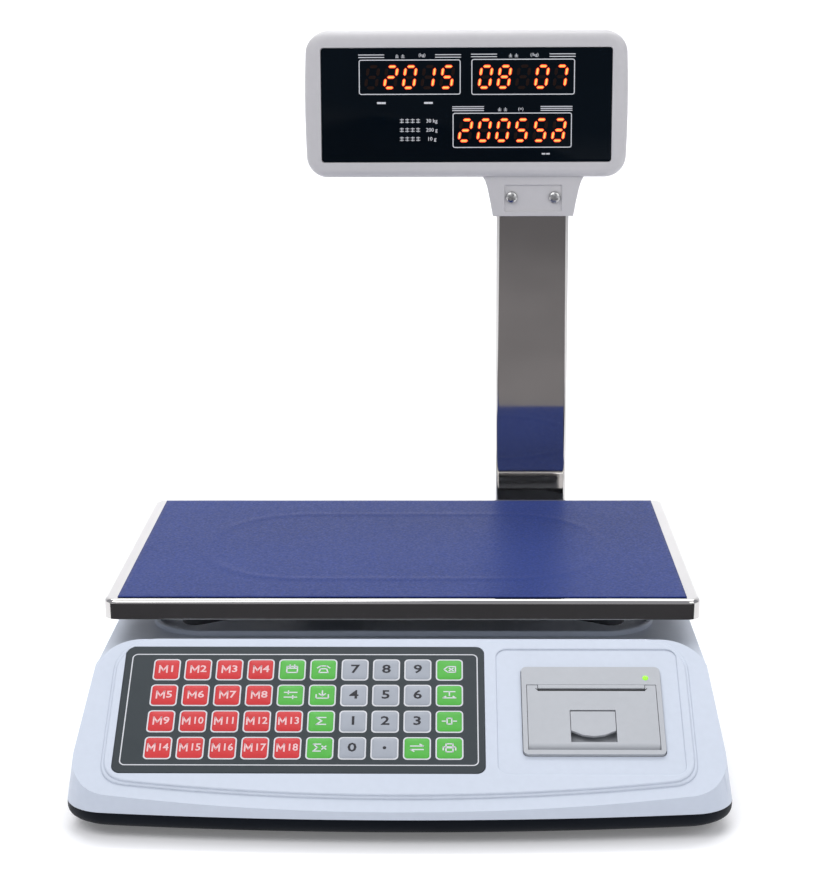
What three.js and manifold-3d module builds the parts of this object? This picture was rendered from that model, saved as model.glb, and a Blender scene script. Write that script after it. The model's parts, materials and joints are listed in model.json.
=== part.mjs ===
// Label printing scale with a stainless platter, a sloping keypad and a display on a pole.
// Millimetres, +Z up, +X to the right as the operator stands, +Y away from the operator.
// Inside the "scale" group y = 0 is the front edge of the platter and z = 0 the table.
import * as THREE from 'three';
import { mergeVertices } from 'three/addons/utils/BufferGeometryUtils.js';
import Module from 'manifold-3d';

const wasm = await Module();
wasm.setup();

// ---- Clearances ---------------------------------------------------------------
const FIT = 0.3; // between fixed pieces that touch
const RUN = 0.1; // radial clearance of a turning shaft
const CLEAR = 1.2; // round a piece that passes through a wall

// ---- Driving dimensions -------------------------------------------------------
const PLATTER_W = 350;
const PLATTER_D = 240;
const PLATTER_TOP = 103;
const PLATTER_LIP = 12;
const PLATTER_SHEET = 1;
const PLATTER_CORNER = 5;
const FILM_THICKNESS = 0.2;
const FILM_BORDER = 8;

const CASE_W = 368;
const CASE_CORNER = 25;
const FRONT_REACH = 119; // casing in front of the platter
const FRONT_BOW = 9; // how far the front wall bulges
const REAR_REACH = 28; // casing behind the platter
const SIDE_LEAN = 0.156; // inward lean of the side walls
const FOOT_H = 6;
const BASE_H = 9.2;
const BASE_TUCK = 9;
const WALL = 2.5;
const BASE_WALL = 3;
const DECK_DROP = 30; // deck below the platter's top

const SLOPE = THREE.MathUtils.degToRad(32.4);
const PANEL_DROP = 20.7; // top edge of the keypad below the platter's top
const PANEL_REACH = 24.6; // top edge of the keypad in front of the platter
const PANEL_STEP = 2; // raised panel above the hood's margin
const PANEL_W = 328;
const PANEL_LOW = 94; // its lower corners below the keypad's top edge
const PANEL_BOW = 10.8;
const RIDGE = 7.5; // hood above the keypad's top edge, along the slope
const HOOD_CORNER = 27;

const WELL_W = 300;
const WELL_D = 187;
const WELL_CORNER = 30;
const WELL_RIM = 3;
const WELL_DEPTH = 9;

const KEYPAD_W = 205;
const KEYPAD_H = 88.8;
const KEYPAD_EDGE = 26.6; // keypad from the casing's widest line
const OVERLAY_THICKNESS = 0.7;
const CIRCUIT_THICKNESS = 0.45;

const PRINTER_EDGE = 76.1; // printer's centre line from the casing's widest line
const BEZEL_H = 61.3;
const BEZEL_TOP = 15.1; // below the keypad's top edge, along the slope
const BEZEL_PROUD = 1;
const BEZEL_FRAME = 3;
const DOOR_TOP = 28.2;
const DOOR_T = 2.8;
const DOOR_SINK = 0.2;
const DOOR_KNUCKLE = 4.3;
const FRAME_WALL = 1.5;
const PAPER_W = 57;
const ROLL_R = 18;
const ROLL_CORE_R = 6.5;
const CORE_WALL = 1.2;
const BUCKET_R = 24;
const PLATEN_R = 4.5;
const PLATEN_SHAFT_R = 2;
const GEAR_MODULE = 0.8;
const GEAR_W = 3.4;
const PLATEN_TEETH = 14;
const IDLER_TEETH = 20;
const PINION_TEETH = 10;
const GEAR_SPREAD = 0.15; // added to each pair's centre distance
const MOTOR_R = 10;
const MOTOR_L = 15;

const LATCH_W = 25;
const LATCH_TOP = 46.6;
const LATCH_BOTTOM = 63.9;
const LATCH_RECESS = 68;
const LATCH_SWING = 0.9; // gap the latch's upper edge turns into

const CELL_L = 130;
const CELL_W = 30;
const CELL_H = 22;
const CELL_END = 38;
const CELL_TRAVEL = 0.4; // how far the cell's free end sinks at full load
const CHASSIS_T = 2;
const CARRIER_ARM_W = 16;
const CARRIER_ARM_H = 12;
const PAD_R = 9;
const PAD_H = 11.4;
const PAD_X = 125;
const PAD_Y = 82;

const POLE_X = 86;
const POLE_GAP = 40; // pole behind the platter
const POLE_W = 50;
const POLE_D = 25;
const POLE_WALL = 1.2;
const POLE_BOTTOM = 12;
const BRACKET_T = 2.5;
const BRACKET_TOP = 72;

const HEAD_W = 220;
const HEAD_H = 98.5;
const HEAD_D = 38;
const HEAD_BOTTOM = 322;
const HEAD_OFFSET = -46; // head's centre from the pole's centre
const HEAD_CORNER = 14;
const HEAD_EDGE = 3;
const HEAD_WALL = 2.4;
const HEAD_FACE = 5;
const NECK_W = 67.8;
const NECK_H = 26.8;
const NECK_SETBACK = 4;
const WINDOW_W = 197;
const WINDOW_H = 76.6;
const WINDOW_T = 2;
const WINDOW_SINK = 0.6;
const WINDOW_LEDGE = 3;
const DIGIT_PITCH = 12.7;
const DIGIT_MODULE_H = 19;
const DIGIT_MODULE_D = 10;
const DISPLAY_ROWS = [
  { name: 'weight_digits', digits: 5, x: -38.4, z: 18.9 },
  { name: 'price_digits', digits: 5, x: 38.4, z: 18.9 },
  { name: 'total_digits', digits: 6, x: 31.2, z: -17 },
];
const CABLE_R = 2;
const CABLE_HOLE_R = CABLE_R + 2;

// ---- Places worked out from them ----------------------------------------------
const SEAM_Z = FOOT_H + BASE_H;
const DECK_Z = PLATTER_TOP - DECK_DROP;
const CASE_REAR = PLATTER_D + REAR_REACH;
const POLE_FRONT = PLATTER_D + POLE_GAP;
const POLE_Y = POLE_FRONT + POLE_D / 2;
const HEAD_X = POLE_X + HEAD_OFFSET;
const HEAD_REAR = POLE_FRONT + POLE_D + FIT + HEAD_WALL + FIT;
const HEAD_FRONT = HEAD_REAR - HEAD_D;
const HEAD_Z = HEAD_BOTTOM + HEAD_H / 2;
const HEAD_SPLIT = (HEAD_FRONT + HEAD_REAR) / 2;
const PLATTER_Y = PLATTER_D / 2;
const ORIGIN_Y = (HEAD_REAR - FRONT_REACH) / 2;
const FLOOR_TOP = FOOT_H + BASE_WALL;
const PRINTER_X = CASE_W / 2 - PRINTER_EDGE;
const BEZEL_W = PAPER_W + 21.5;
const POLE_TOP = HEAD_BOTTOM - 6;
const KEYPAD_X = -CASE_W / 2 + KEYPAD_EDGE + KEYPAD_W / 2;

// ---- Solids: joining and cutting ----------------------------------------------
const MERGE = 0.004; // vertices off a flat face or a straight edge by less than this go

function toSolid(geometry) {
  const plain = new THREE.BufferGeometry().copy(geometry);
  plain.deleteAttribute('normal');
  plain.deleteAttribute('uv');
  const merged = mergeVertices(plain, 1e-4);
  return new wasm.Manifold(new wasm.Mesh({
    numProp: 3,
    vertProperties: new Float32Array(merged.attributes.position.array),
    triVerts: new Uint32Array(merged.index.array),
  }));
}

function toGeometry(solid) {
  const mesh = solid.simplify(MERGE).getMesh();
  const geometry = new THREE.BufferGeometry();
  geometry.setAttribute('position', new THREE.BufferAttribute(mesh.vertProperties, 3));
  geometry.setIndex(new THREE.BufferAttribute(mesh.triVerts, 1));
  return geometry;
}

function join(first, ...others) {
  return toGeometry(others.reduce((sum, other) => sum.add(toSolid(other)), toSolid(first)));
}

function cut(first, ...others) {
  return toGeometry(others.reduce((rest, other) => rest.subtract(toSolid(other)), toSolid(first)));
}

function common(first, second) {
  return toGeometry(toSolid(first).intersect(toSolid(second)));
}

// ---- Basic shapes ---------------------------------------------------------------
function block(x0, x1, y0, y1, z0, z1) {
  const box = new THREE.BoxGeometry(x1 - x0, y1 - y0, z1 - z0);
  return box.translate((x0 + x1) / 2, (y0 + y1) / 2, (z0 + z1) / 2);
}

function rodX(radius, x0, x1, y, z, sides = 16) {
  const rod = new THREE.CylinderGeometry(radius, radius, x1 - x0, sides);
  return rod.rotateZ(Math.PI / 2).rotateX(Math.PI / sides).translate((x0 + x1) / 2, y, z);
}

function rodY(radius, y0, y1, x, z, sides = 16) {
  return new THREE.CylinderGeometry(radius, radius, y1 - y0, sides).translate(x, (y0 + y1) / 2, z);
}

function rodZ(radius, z0, z1, x, y, sides = 16) {
  const rod = new THREE.CylinderGeometry(radius, radius, z1 - z0, sides);
  return rod.rotateX(Math.PI / 2).translate(x, y, (z0 + z1) / 2);
}

function roundedRect(width, height, radius, x = 0, y = 0) {
  const shape = new THREE.Shape();
  const dx = width / 2 - radius;
  const dy = height / 2 - radius;
  shape.absarc(x + dx, y - dy, radius, -Math.PI / 2, 0);
  shape.absarc(x + dx, y + dy, radius, 0, Math.PI / 2);
  shape.absarc(x - dx, y + dy, radius, Math.PI / 2, Math.PI);
  shape.absarc(x - dx, y - dy, radius, Math.PI, Math.PI * 1.5);
  return shape;
}

function polygon(points) {
  return new THREE.Shape(points.map(([x, y]) => new THREE.Vector2(x, y)));
}

// The outline's points, without the doubled ones where two arcs meet.
function outline(shape, arcSteps) {
  const points = shape.getPoints(arcSteps);
  return new THREE.Shape(points.filter((point, index) => {
    const previous = points[(index + points.length - 1) % points.length];
    return point.distanceTo(previous) > 1e-3;
  }));
}

function slab(shape, z0, z1, arcSteps = 2, steps = 1) {
  const options = { depth: z1 - z0, bevelEnabled: false, steps };
  return new THREE.ExtrudeGeometry(outline(shape, arcSteps), options).translate(0, 0, z0);
}

// A profile drawn in (y, z), run along x from x0 to x1.
function profileX(shape, x0, x1, arcSteps = 3) {
  const turn = new THREE.Matrix4().set(0, 0, 1, x0, 1, 0, 0, 0, 0, 1, 0, 0, 0, 0, 0, 1);
  return slab(shape, 0, x1 - x0, arcSteps).applyMatrix4(turn);
}

// A profile drawn in (x, z), run along y from y0 to y1.
function profileY(shape, y0, y1, arcSteps = 2) {
  const turn = new THREE.Matrix4().set(1, 0, 0, 0, 0, 0, -1, y1, 0, 1, 0, 0, 0, 0, 0, 1);
  return slab(shape, 0, y1 - y0, arcSteps).applyMatrix4(turn);
}

function turned(profile, sides = 20) {
  const points = profile.map(([r, z]) => new THREE.Vector2(r, z));
  return new THREE.LatheGeometry(points, sides).rotateX(Math.PI / 2);
}

// A closed ring about the x axis.
function ringX(inner, outer, x0, x1, y, z, sides = 20) {
  const profile = [[inner, x0], [outer, x0], [outer, x1], [inner, x1], [inner, x0]];
  const points = profile.map(([r, x]) => new THREE.Vector2(r, x));
  return new THREE.LatheGeometry(points, sides).rotateZ(-Math.PI / 2).translate(0, y, z);
}

// ---- Materials ------------------------------------------------------------------
function material(color, roughness, metalness) {
  return new THREE.MeshStandardMaterial({ color, roughness, metalness });
}

const WHITE_PLASTIC = material(0xe8e8f0, 0.45, 0);
const NAVY_PLASTIC = material(0x0f1322, 0.5, 0);
const GREY_PLASTIC = material(0xb9b7bb, 0.5, 0);
const BLACK_PLASTIC = material(0x18181a, 0.5, 0);
const OVERLAY_GREY = material(0x3a3d44, 0.55, 0);
const POLISHED_STEEL = material(0xb8b4b0, 0.2, 1);
const ZINC_STEEL = material(0x9a9ca0, 0.4, 1);
const ALUMINIUM = material(0xa9abae, 0.4, 1);
const CAST_BLACK = material(0x202124, 0.6, 0.3);
const BLUE_FILM = material(0x1c6fb8, 0.35, 0);
const RUBBER = material(0x1a1a1a, 0.85, 0);
const PAPER = material(0xf4f2ec, 0.8, 0);
const BOARD_GREEN = material(0x1e5a36, 0.5, 0);
const WINDOW_DARK = material(0x05070c, 0.1, 0);
const LED_RED = material(0x5a120a, 0.4, 0);
const LED_GREEN = material(0x38b048, 0.3, 0);
const GEAR_WHITE = material(0xdedacb, 0.5, 0);

// ---- Assembly frame ---------------------------------------------------------------
const model = new THREE.Group();
const scale = new THREE.Group();
scale.position.set(0, -ORIGIN_Y, 0);
model.add(scale);

// The hood's own frame: x across, y up the slope, z out of the panel.
const hood = new THREE.Group();
hood.position.set(0, -PANEL_REACH, PLATTER_TOP - PANEL_DROP);
hood.rotation.x = SLOPE;
hood.updateMatrix();
scale.add(hood);

function add(parent, name, geometry, finish) {
  const mesh = new THREE.Mesh(geometry, finish);
  mesh.name = name;
  parent.add(mesh);
}

function tilted(geometry) {
  return new THREE.BufferGeometry().copy(geometry).applyMatrix4(hood.matrix);
}

// ---- Casing -----------------------------------------------------------------------
// Plan of the casing at the seam: bowed front, round corners, drawn `inset` inside the wall.
function casePlan(inset) {
  const half = CASE_W / 2;
  const chord = half - CASE_CORNER;
  const bowRadius = (chord * chord + FRONT_BOW * FRONT_BOW) / (2 * FRONT_BOW);
  const bowY = bowRadius - FRONT_REACH;
  const reach = bowRadius - CASE_CORNER;
  const cornerY = bowY - Math.sqrt(reach * reach - chord * chord);
  const rearY = CASE_REAR - CASE_CORNER;
  const radius = CASE_CORNER - inset;
  const spread = Math.asin(chord / reach);
  const down = -Math.PI / 2;
  const shape = new THREE.Shape();
  shape.absarc(0, bowY, bowRadius - inset, down - spread, down + spread);
  shape.absarc(chord, cornerY, radius, down + spread, 0);
  shape.absarc(chord, rearY, radius, 0, Math.PI / 2);
  shape.absarc(-chord, rearY, radius, Math.PI / 2, Math.PI);
  shape.absarc(-chord, cornerY, radius, Math.PI, Math.PI * 1.5 - spread);
  return shape;
}

// Draws a form's sides inward as they rise from the seam.
function leanIn(geometry) {
  const position = geometry.attributes.position;
  for (let i = 0; i < position.count; i += 1) {
    const rise = position.getZ(i) - SEAM_Z;
    position.setX(i, position.getX(i) * (1 - (SIDE_LEAN * rise) / (CASE_W / 2)));
  }
  return geometry;
}

// Draws a form's sides inward towards the table.
function tuckUnder(geometry) {
  const position = geometry.attributes.position;
  const middle = (CASE_REAR - FRONT_REACH) / 2;
  const depth = CASE_REAR + FRONT_REACH;
  for (let i = 0; i < position.count; i += 1) {
    const sink = Math.max(0, (SEAM_Z - position.getZ(i)) / BASE_H);
    const draw = BASE_TUCK * sink * sink;
    position.setX(i, position.getX(i) * (1 - (2 * draw) / CASE_W));
    position.setY(i, middle + (position.getY(i) - middle) * (1 - (2 * draw) / depth));
  }
  return geometry;
}

// A point of the slope, `up` along it and `out` of it, as [y, z].
function slopePoint(up, out) {
  const y = hood.position.y + up * Math.cos(SLOPE) - out * Math.sin(SLOPE);
  const z = hood.position.z + up * Math.sin(SLOPE) + out * Math.cos(SLOPE);
  return [y, z];
}

const HOOD_BACK = slopePoint(RIDGE, 0)[0] + 8;
const REAR_CHAMFER = 6;

// Side view of the casing, with its top surfaces `inset` inside the outer ones.
function coverSide(inset) {
  const out = -PANEL_STEP - inset;
  const ridge = slopePoint(RIDGE - inset, out);
  const low = slopePoint(-FRONT_REACH * 1.4, out);
  const back = HOOD_BACK - inset;
  const top = DECK_Z - inset;
  const rear = CASE_REAR - inset;
  return polygon([
    low,
    slopePoint(RIDGE - inset - 5, out),
    ridge,
    [back - 3, ridge[1] - 1.5],
    [back, top],
    [rear - REAR_CHAMFER, top],
    [rear + REAR_CHAMFER, top - REAR_CHAMFER * 2],
    [rear + REAR_CHAMFER, low[1] - 1],
    [low[0], low[1] - 1],
  ]);
}

// The casing above the seam; the hood above the deck has round back corners.
function coverForm(inset) {
  const plan = leanIn(slab(casePlan(inset), SEAM_Z + FIT, PLATTER_TOP, 3));
  const side = profileX(coverSide(inset), -CASE_W, CASE_W);
  const whole = common(plan, side);
  const half = CASE_W / 2 - 8 - inset;
  const panel = roundedRect(half * 2, KEYPAD_H * 2, HOOD_CORNER, 0, RIDGE - inset - KEYPAD_H);
  const hoodTop = common(whole, tilted(slab(panel, -KEYPAD_H, KEYPAD_H)));
  const below = common(whole, block(-CASE_W, CASE_W, -FRONT_REACH * 2, CASE_REAR * 2, 0, DECK_Z - inset));
  return join(below, hoodTop);
}

// The raised panel that carries the keypad and the printer: it bows along its lower edge.
function panelShape(inset) {
  const half = PANEL_W / 2 - inset;
  const top = RIDGE - inset;
  const low = -PANEL_LOW + inset;
  const radius = HOOD_CORNER - 4;
  const shape = new THREE.Shape();
  shape.moveTo(-half + 3, low);
  shape.quadraticCurveTo(0, low - PANEL_BOW * 2, half - 3, low);
  shape.lineTo(half, top - radius);
  shape.absarc(half - radius, top - radius, radius, 0, Math.PI / 2);
  shape.absarc(-half + radius, top - radius, radius, Math.PI / 2, Math.PI);
  return shape;
}

const WELL_FRONT = 28;
const WELL_Y = WELL_FRONT + WELL_D / 2;
const WELL_FLOOR = DECK_Z - WELL_DEPTH;
const CELL_CAP_X = -(CELL_L - CELL_END) / 2;
const COLUMN_X = 34;
const COLUMN_Y = 30;
const INLET_X = -110;
const SWITCH_X = -60;
const REAR_PANEL_Z = (SEAM_Z + DECK_Z) / 2 - 2;
const INLET_BODY = [28, 21];
const SWITCH_BODY = [20, 13.5];
const LEVEL_X = -120;
const LEVEL_Y = CASE_REAR - 14;
const LEVEL_R = 8;
const CABLE_ENTRY_Z = 36;
const TONGUE_Z = SEAM_Z + FIT;
const TONGUE_W = 50;
const TAIL_X = -100;
const TAIL_W = 20;
const TAIL_DOWN = 30;
const KEYPAD_POCKET = 1.6;

function rearHole([width, height], x) {
  const gap = FIT * 2;
  const y0 = CASE_REAR - WALL * 2;
  const z = REAR_PANEL_Z;
  return block(x - (width + gap) / 2, x + (width + gap) / 2, y0, CASE_REAR + WALL,
    z - (height + gap) / 2, z + (height + gap) / 2);
}

function topCover() {
  const shell = cut(coverForm(0), coverForm(WALL));
  const panel = tilted(join(slab(panelShape(0), -PANEL_STEP - WALL, -1, 4), slab(panelShape(1), -2, 0, 4)));
  const wellPlan = (grow) => roundedRect(WELL_W + grow * 2, WELL_D + grow * 2, WELL_CORNER + grow, 0, WELL_Y);
  const dish = slab(wellPlan(WALL), WELL_FLOOR - WALL, DECK_Z + WELL_RIM);
  const collar = [CELL_CAP_X, PLATTER_Y];
  const collarPlan = (grow) => roundedRect(COLUMN_X + grow * 2, COLUMN_Y + grow * 2, 6, ...collar);
  const body = cut(join(shell, panel, dish), slab(wellPlan(0), WELL_FLOOR, PLATTER_TOP));
  const splashCollar = slab(collarPlan(CLEAR * 3 + WALL), WELL_FLOOR - WALL, WELL_FLOOR + 5);
  const bezelY = -BEZEL_TOP - BEZEL_H / 2;
  const openings = [
    slab(collarPlan(CLEAR * 3), WELL_FLOOR - WALL * 2, DECK_Z),
    tilted(slab(roundedRect(BEZEL_W + FIT * 2, BEZEL_H + FIT * 2, 3, PRINTER_X, bezelY), -10, 5)),
    tilted(slab(roundedRect(KEYPAD_W + FIT * 2, KEYPAD_H + FIT * 2, 5, KEYPAD_X, -KEYPAD_H / 2),
      -KEYPAD_POCKET, 5)),
    tilted(block(TAIL_X - TAIL_W / 2 - 1, TAIL_X + TAIL_W / 2 + 1, -TAIL_DOWN - 1.5, -TAIL_DOWN + 1, -8, 0)),
    rearHole(INLET_BODY, INLET_X),
    rearHole(SWITCH_BODY, SWITCH_X),
    rodY(CABLE_HOLE_R, CASE_REAR - WALL * 2, CASE_REAR + WALL, POLE_X, CABLE_ENTRY_Z),
    block(POLE_X - TONGUE_W / 2 - FIT, POLE_X + TONGUE_W / 2 + FIT, CASE_REAR - WALL * 2, CASE_REAR + WALL,
      TONGUE_Z - FIT, TONGUE_Z + BRACKET_T + FIT),
    rodZ(LEVEL_R + FIT, DECK_Z - WALL * 2, DECK_Z + WALL, LEVEL_X, LEVEL_Y),
  ];
  return cut(join(body, splashCollar), ...openings);
}

const FOOT_INSET = 34;
const FOOT_FRONT = -50;
const FOOT_PLACES = [FOOT_FRONT, CASE_REAR - FOOT_INSET].flatMap((y) => [[-1, y], [1, y]])
  .map(([side, y]) => [side * (CASE_W / 2 - FOOT_INSET), y]);
const FOOT_STEM_R = 3;
const FOOT_BOSS_R = 8;
const CHASSIS_Z = 13;
const CHASSIS_TOP = CHASSIS_Z + CHASSIS_T;
const CHASSIS_X = [-52, 112];
const CHASSIS_Y = [8, CASE_REAR - 14];
const BATTERY = { l: 101, w: 70, h: 47, x: -109, y: PLATTER_Y + CELL_W / 2 + 42 };
const HATCH_BORDER = 6;
const HATCH_T = 2.5;

function hatchPlan(grow) {
  const width = BATTERY.l + (HATCH_BORDER + grow) * 2;
  const depth = BATTERY.w + (HATCH_BORDER + grow) * 2;
  return roundedRect(width, depth, 4, BATTERY.x, BATTERY.y);
}

function baseShell() {
  const form = tuckUnder(slab(casePlan(0), FOOT_H, SEAM_Z, 3, 2));
  const hollow = tuckUnder(slab(casePlan(BASE_WALL), FLOOR_TOP, SEAM_Z + FIT, 3, 1));
  const tray = cut(form, hollow);
  const bosses = FOOT_PLACES.map(([x, y]) => rodZ(FOOT_BOSS_R, FOOT_H, SEAM_Z, x, y));
  const posts = [];
  for (const x of CHASSIS_X.map((edge) => edge - Math.sign(edge) * 8)) {
    for (const y of [CHASSIS_Y[0] + 8, (CHASSIS_Y[0] + CHASSIS_Y[1]) / 2, CHASSIS_Y[1] - 8]) {
      posts.push(rodZ(4, FOOT_H + 1, CHASSIS_Z - FIT, x, y, 10));
    }
  }
  const stemHoles = FOOT_PLACES.map(([x, y]) => rodZ(FOOT_STEM_R + FIT, 0, PLATTER_TOP, x, y));
  const hatch = slab(hatchPlan(FIT), 0, FLOOR_TOP + 1);
  return cut(join(tray, ...bosses, ...posts), ...stemHoles, hatch);
}

function levellingFoot([x, y]) {
  const pad = [[0, 0], [11.5, 0], [13, 1.5], [13, 3.5], [10, 5.4], [FOOT_STEM_R, 5.4],
    [FOOT_STEM_R, SEAM_Z + 2], [0, SEAM_Z + 2]];
  return turned(pad, 16).translate(x, y, 0);
}

add(scale, 'top_cover', topCover(), WHITE_PLASTIC);
add(scale, 'base_shell', baseShell(), NAVY_PLASTIC);
add(scale, 'battery_cover', slab(hatchPlan(0), FOOT_H + FIT, FOOT_H + FIT + HATCH_T), NAVY_PLASTIC);
FOOT_PLACES.forEach((place, index) => {
  add(scale, `levelling_foot_${index + 1}`, levellingFoot(place), RUBBER);
});

// ---- Chassis, power and electronics -------------------------------------------------
function chassisPlate() {
  const [x0, x1] = CHASSIS_X;
  const [y0, y1] = CHASSIS_Y;
  const plate = block(x0, x1, y0, y1, CHASSIS_Z, CHASSIS_TOP);
  const relief = slab(roundedRect(60, 60, 10, (x0 + x1) / 2, 30), 0, DECK_Z);
  return cut(plate, relief);
}

function battery() {
  const { l, w, h, x, y } = BATTERY;
  const z = FOOT_H + FIT + HATCH_T + FIT;
  const body = block(x - l / 2, x + l / 2, y - w / 2, y + w / 2, z, z + h);
  const tabs = [-1, 1].map((side) => block(x + l / 2 - 1, x + l / 2 + 5, y + side * 20 - 3, y + side * 20 + 3,
    z + h - 8, z + h - 7.2));
  return join(body, ...tabs);
}

function powerBoard() {
  const x0 = -38;
  const y1 = CASE_REAR - 22;
  const z = CHASSIS_TOP + 5;
  const board = block(x0, x0 + 88, y1 - 60, y1, z, z + 1.6);
  const pieces = [
    block(x0 + 8, x0 + 36, y1 - 44, y1 - 20, z + 1, z + 22),
    block(x0 + 44, x0 + 47, y1 - 52, y1 - 14, z + 1, z + 20),
    rodZ(7, z + 1, z + 25, x0 + 60, y1 - 16, 12),
    rodZ(5, z + 1, z + 18, x0 + 60, y1 - 36, 12),
    block(x0 + 70, x0 + 84, y1 - 50, y1 - 38, z + 1, z + 12),
    block(x0 + 10, x0 + 24, y1 - 14, y1 - 4, z + 1, z + 12),
  ];
  const legs = [[3, 3], [85, 3], [3, 57], [85, 57]]
    .map(([dx, dy]) => rodZ(2.5, CHASSIS_TOP + FIT, z + 0.5, x0 + dx, y1 - 60 + dy, 8));
  return join(board, ...pieces, ...legs);
}

const MAIN_BOARD = { x0: -160, x1: -30, y0: -78, y1: 0, z: 18 };

function mainBoard() {
  const { x0, x1, y0, y1, z } = MAIN_BOARD;
  const top = z + 1;
  const pieces = [
    block(x0 + 50, x0 + 70, y0 + 20, y0 + 40, top, z + 4),
    block(x0 + 82, x0 + 96, y0 + 24, y0 + 34, top, z + 3.6),
    block(x0 + 14, x0 + 40, y0 + 12, y0 + 22, top, z + 3.6),
    block(TAIL_X - 12, TAIL_X + 12, y1 - 36, y1 - 26, top, z + 11),
    block(x1 - 13, x1 - 1, y1 - 12, y1 - 1, top, z + 12),
    block(x0 + 4, x0 + 14, y1 - 60, y1 - 30, top, z + 9),
    rodZ(10, top, z + 5.4, x0 + 112, y0 + 14, 12),
  ];
  const legs = [[x0 + 4, y0 + 4], [x1 - 4, y0 + 4], [x0 + 4, y1 - 4], [x1 - 4, y1 - 4]]
    .map(([x, y]) => rodZ(3, FLOOR_TOP + FIT, z + 0.5, x, y, 8));
  return join(block(x0, x1, y0, y1, z, z + 1.6), ...pieces, ...legs);
}

function powerInlet() {
  const [width, height] = INLET_BODY;
  const z = REAR_PANEL_Z;
  const y = CASE_REAR + FIT;
  const flange = profileY(roundedRect(48, 24, 4, INLET_X, z), y, y + 2.5);
  const body = profileY(roundedRect(width, height, 3, INLET_X, z), CASE_REAR - 20, y + 1);
  const socket = profileY(roundedRect(width - 4, height - 4, 2, INLET_X, z), CASE_REAR - 16, y + 5);
  const pins = [[-7, -2.5], [7, -2.5], [0, 3.5]].map(([dx, dz]) => block(INLET_X + dx - 1, INLET_X + dx + 1,
    CASE_REAR - 17, CASE_REAR - 3, z + dz - 2, z + dz + 2));
  return join(cut(join(flange, body), socket), ...pins);
}

const ROCKER = { w: 14, r: 5.2, pivot: CASE_REAR + 0.2, tilt: THREE.MathUtils.degToRad(11) };

function switchHousing() {
  const [width, height] = SWITCH_BODY;
  const z = REAR_PANEL_Z;
  const y = CASE_REAR + FIT;
  const flange = profileY(roundedRect(24, 17.5, 2, SWITCH_X, z), y, y + 2);
  const body = profileY(roundedRect(width, height, 1.5, SWITCH_X, z), CASE_REAR - 15, y + 1);
  const well = block(SWITCH_X - ROCKER.w / 2 - FIT, SWITCH_X + ROCKER.w / 2 + FIT, CASE_REAR - 10, y + 5,
    z - ROCKER.r - FIT, z + ROCKER.r + FIT);
  return cut(join(flange, body), well);
}

// The rocker is round about its pivot, and its face is two flats that meet in the middle.
function powerRocker() {
  const half = THREE.MathUtils.degToRad(48);
  const side = new THREE.Shape();
  side.absarc(0, 0, ROCKER.r, half, Math.PI * 2 - half);
  side.lineTo(ROCKER.r / 2, 0);
  const body = profileX(side, SWITCH_X - ROCKER.w / 2, SWITCH_X + ROCKER.w / 2, 6);
  return body.rotateX(-ROCKER.tilt).translate(0, ROCKER.pivot, REAR_PANEL_Z);
}

function levelCup() {
  const z = DECK_Z + FIT;
  const profile = [[0, z - 7.5], [LEVEL_R, z - 7.5], [LEVEL_R, z], [LEVEL_R + 2, z], [LEVEL_R + 2, z + 1.2],
    [LEVEL_R - 1.5, z + 1.2], [LEVEL_R - 1.5, z - 6], [0, z - 6]];
  return turned(profile, 20).translate(LEVEL_X, LEVEL_Y, 0);
}

add(scale, 'chassis_plate', chassisPlate(), ZINC_STEEL);
add(scale, 'battery', battery(), BLACK_PLASTIC);
add(scale, 'power_board', powerBoard(), BOARD_GREEN);
add(scale, 'main_board', mainBoard(), BOARD_GREEN);
add(scale, 'power_inlet', powerInlet(), BLACK_PLASTIC);
add(scale, 'switch_housing', switchHousing(), BLACK_PLASTIC);
add(scale, 'power_rocker', powerRocker(), BLACK_PLASTIC);
add(scale, 'level_cup', levelCup(), BLACK_PLASTIC);
add(scale, 'level_vial', rodZ(LEVEL_R - 1.8, DECK_Z - 5.4, DECK_Z + 1.2, LEVEL_X, LEVEL_Y), LED_GREEN);

// ---- Weighing train: cell, carrier, platter -------------------------------------------
const CELL_Z = CHASSIS_TOP + FIT + 6 + FIT;
const CELL_TOP = CELL_Z + CELL_H;
const CARRIER_ARM_TOP = PLATTER_TOP - PLATTER_SHEET - FIT - PAD_H - FIT;
const CAP_Z = CELL_TOP + FIT + CELL_TRAVEL;
const CARRIER_HUB_Z = CAP_Z + 7 + FIT;

function loadCell() {
  const half = CELL_W / 2;
  const bar = block(-CELL_L / 2, CELL_L / 2, PLATTER_Y - half, PLATTER_Y + half, CELL_Z, CELL_TOP);
  const z = CELL_Z + CELL_H / 2;
  const [y0, y1] = [PLATTER_Y - CELL_W, PLATTER_Y + CELL_W];
  return cut(bar, rodY(8, y0, y1, -13, z), rodY(8, y0, y1, 13, z), block(-13, 13, y0, y1, z - 3, z + 3));
}

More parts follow.
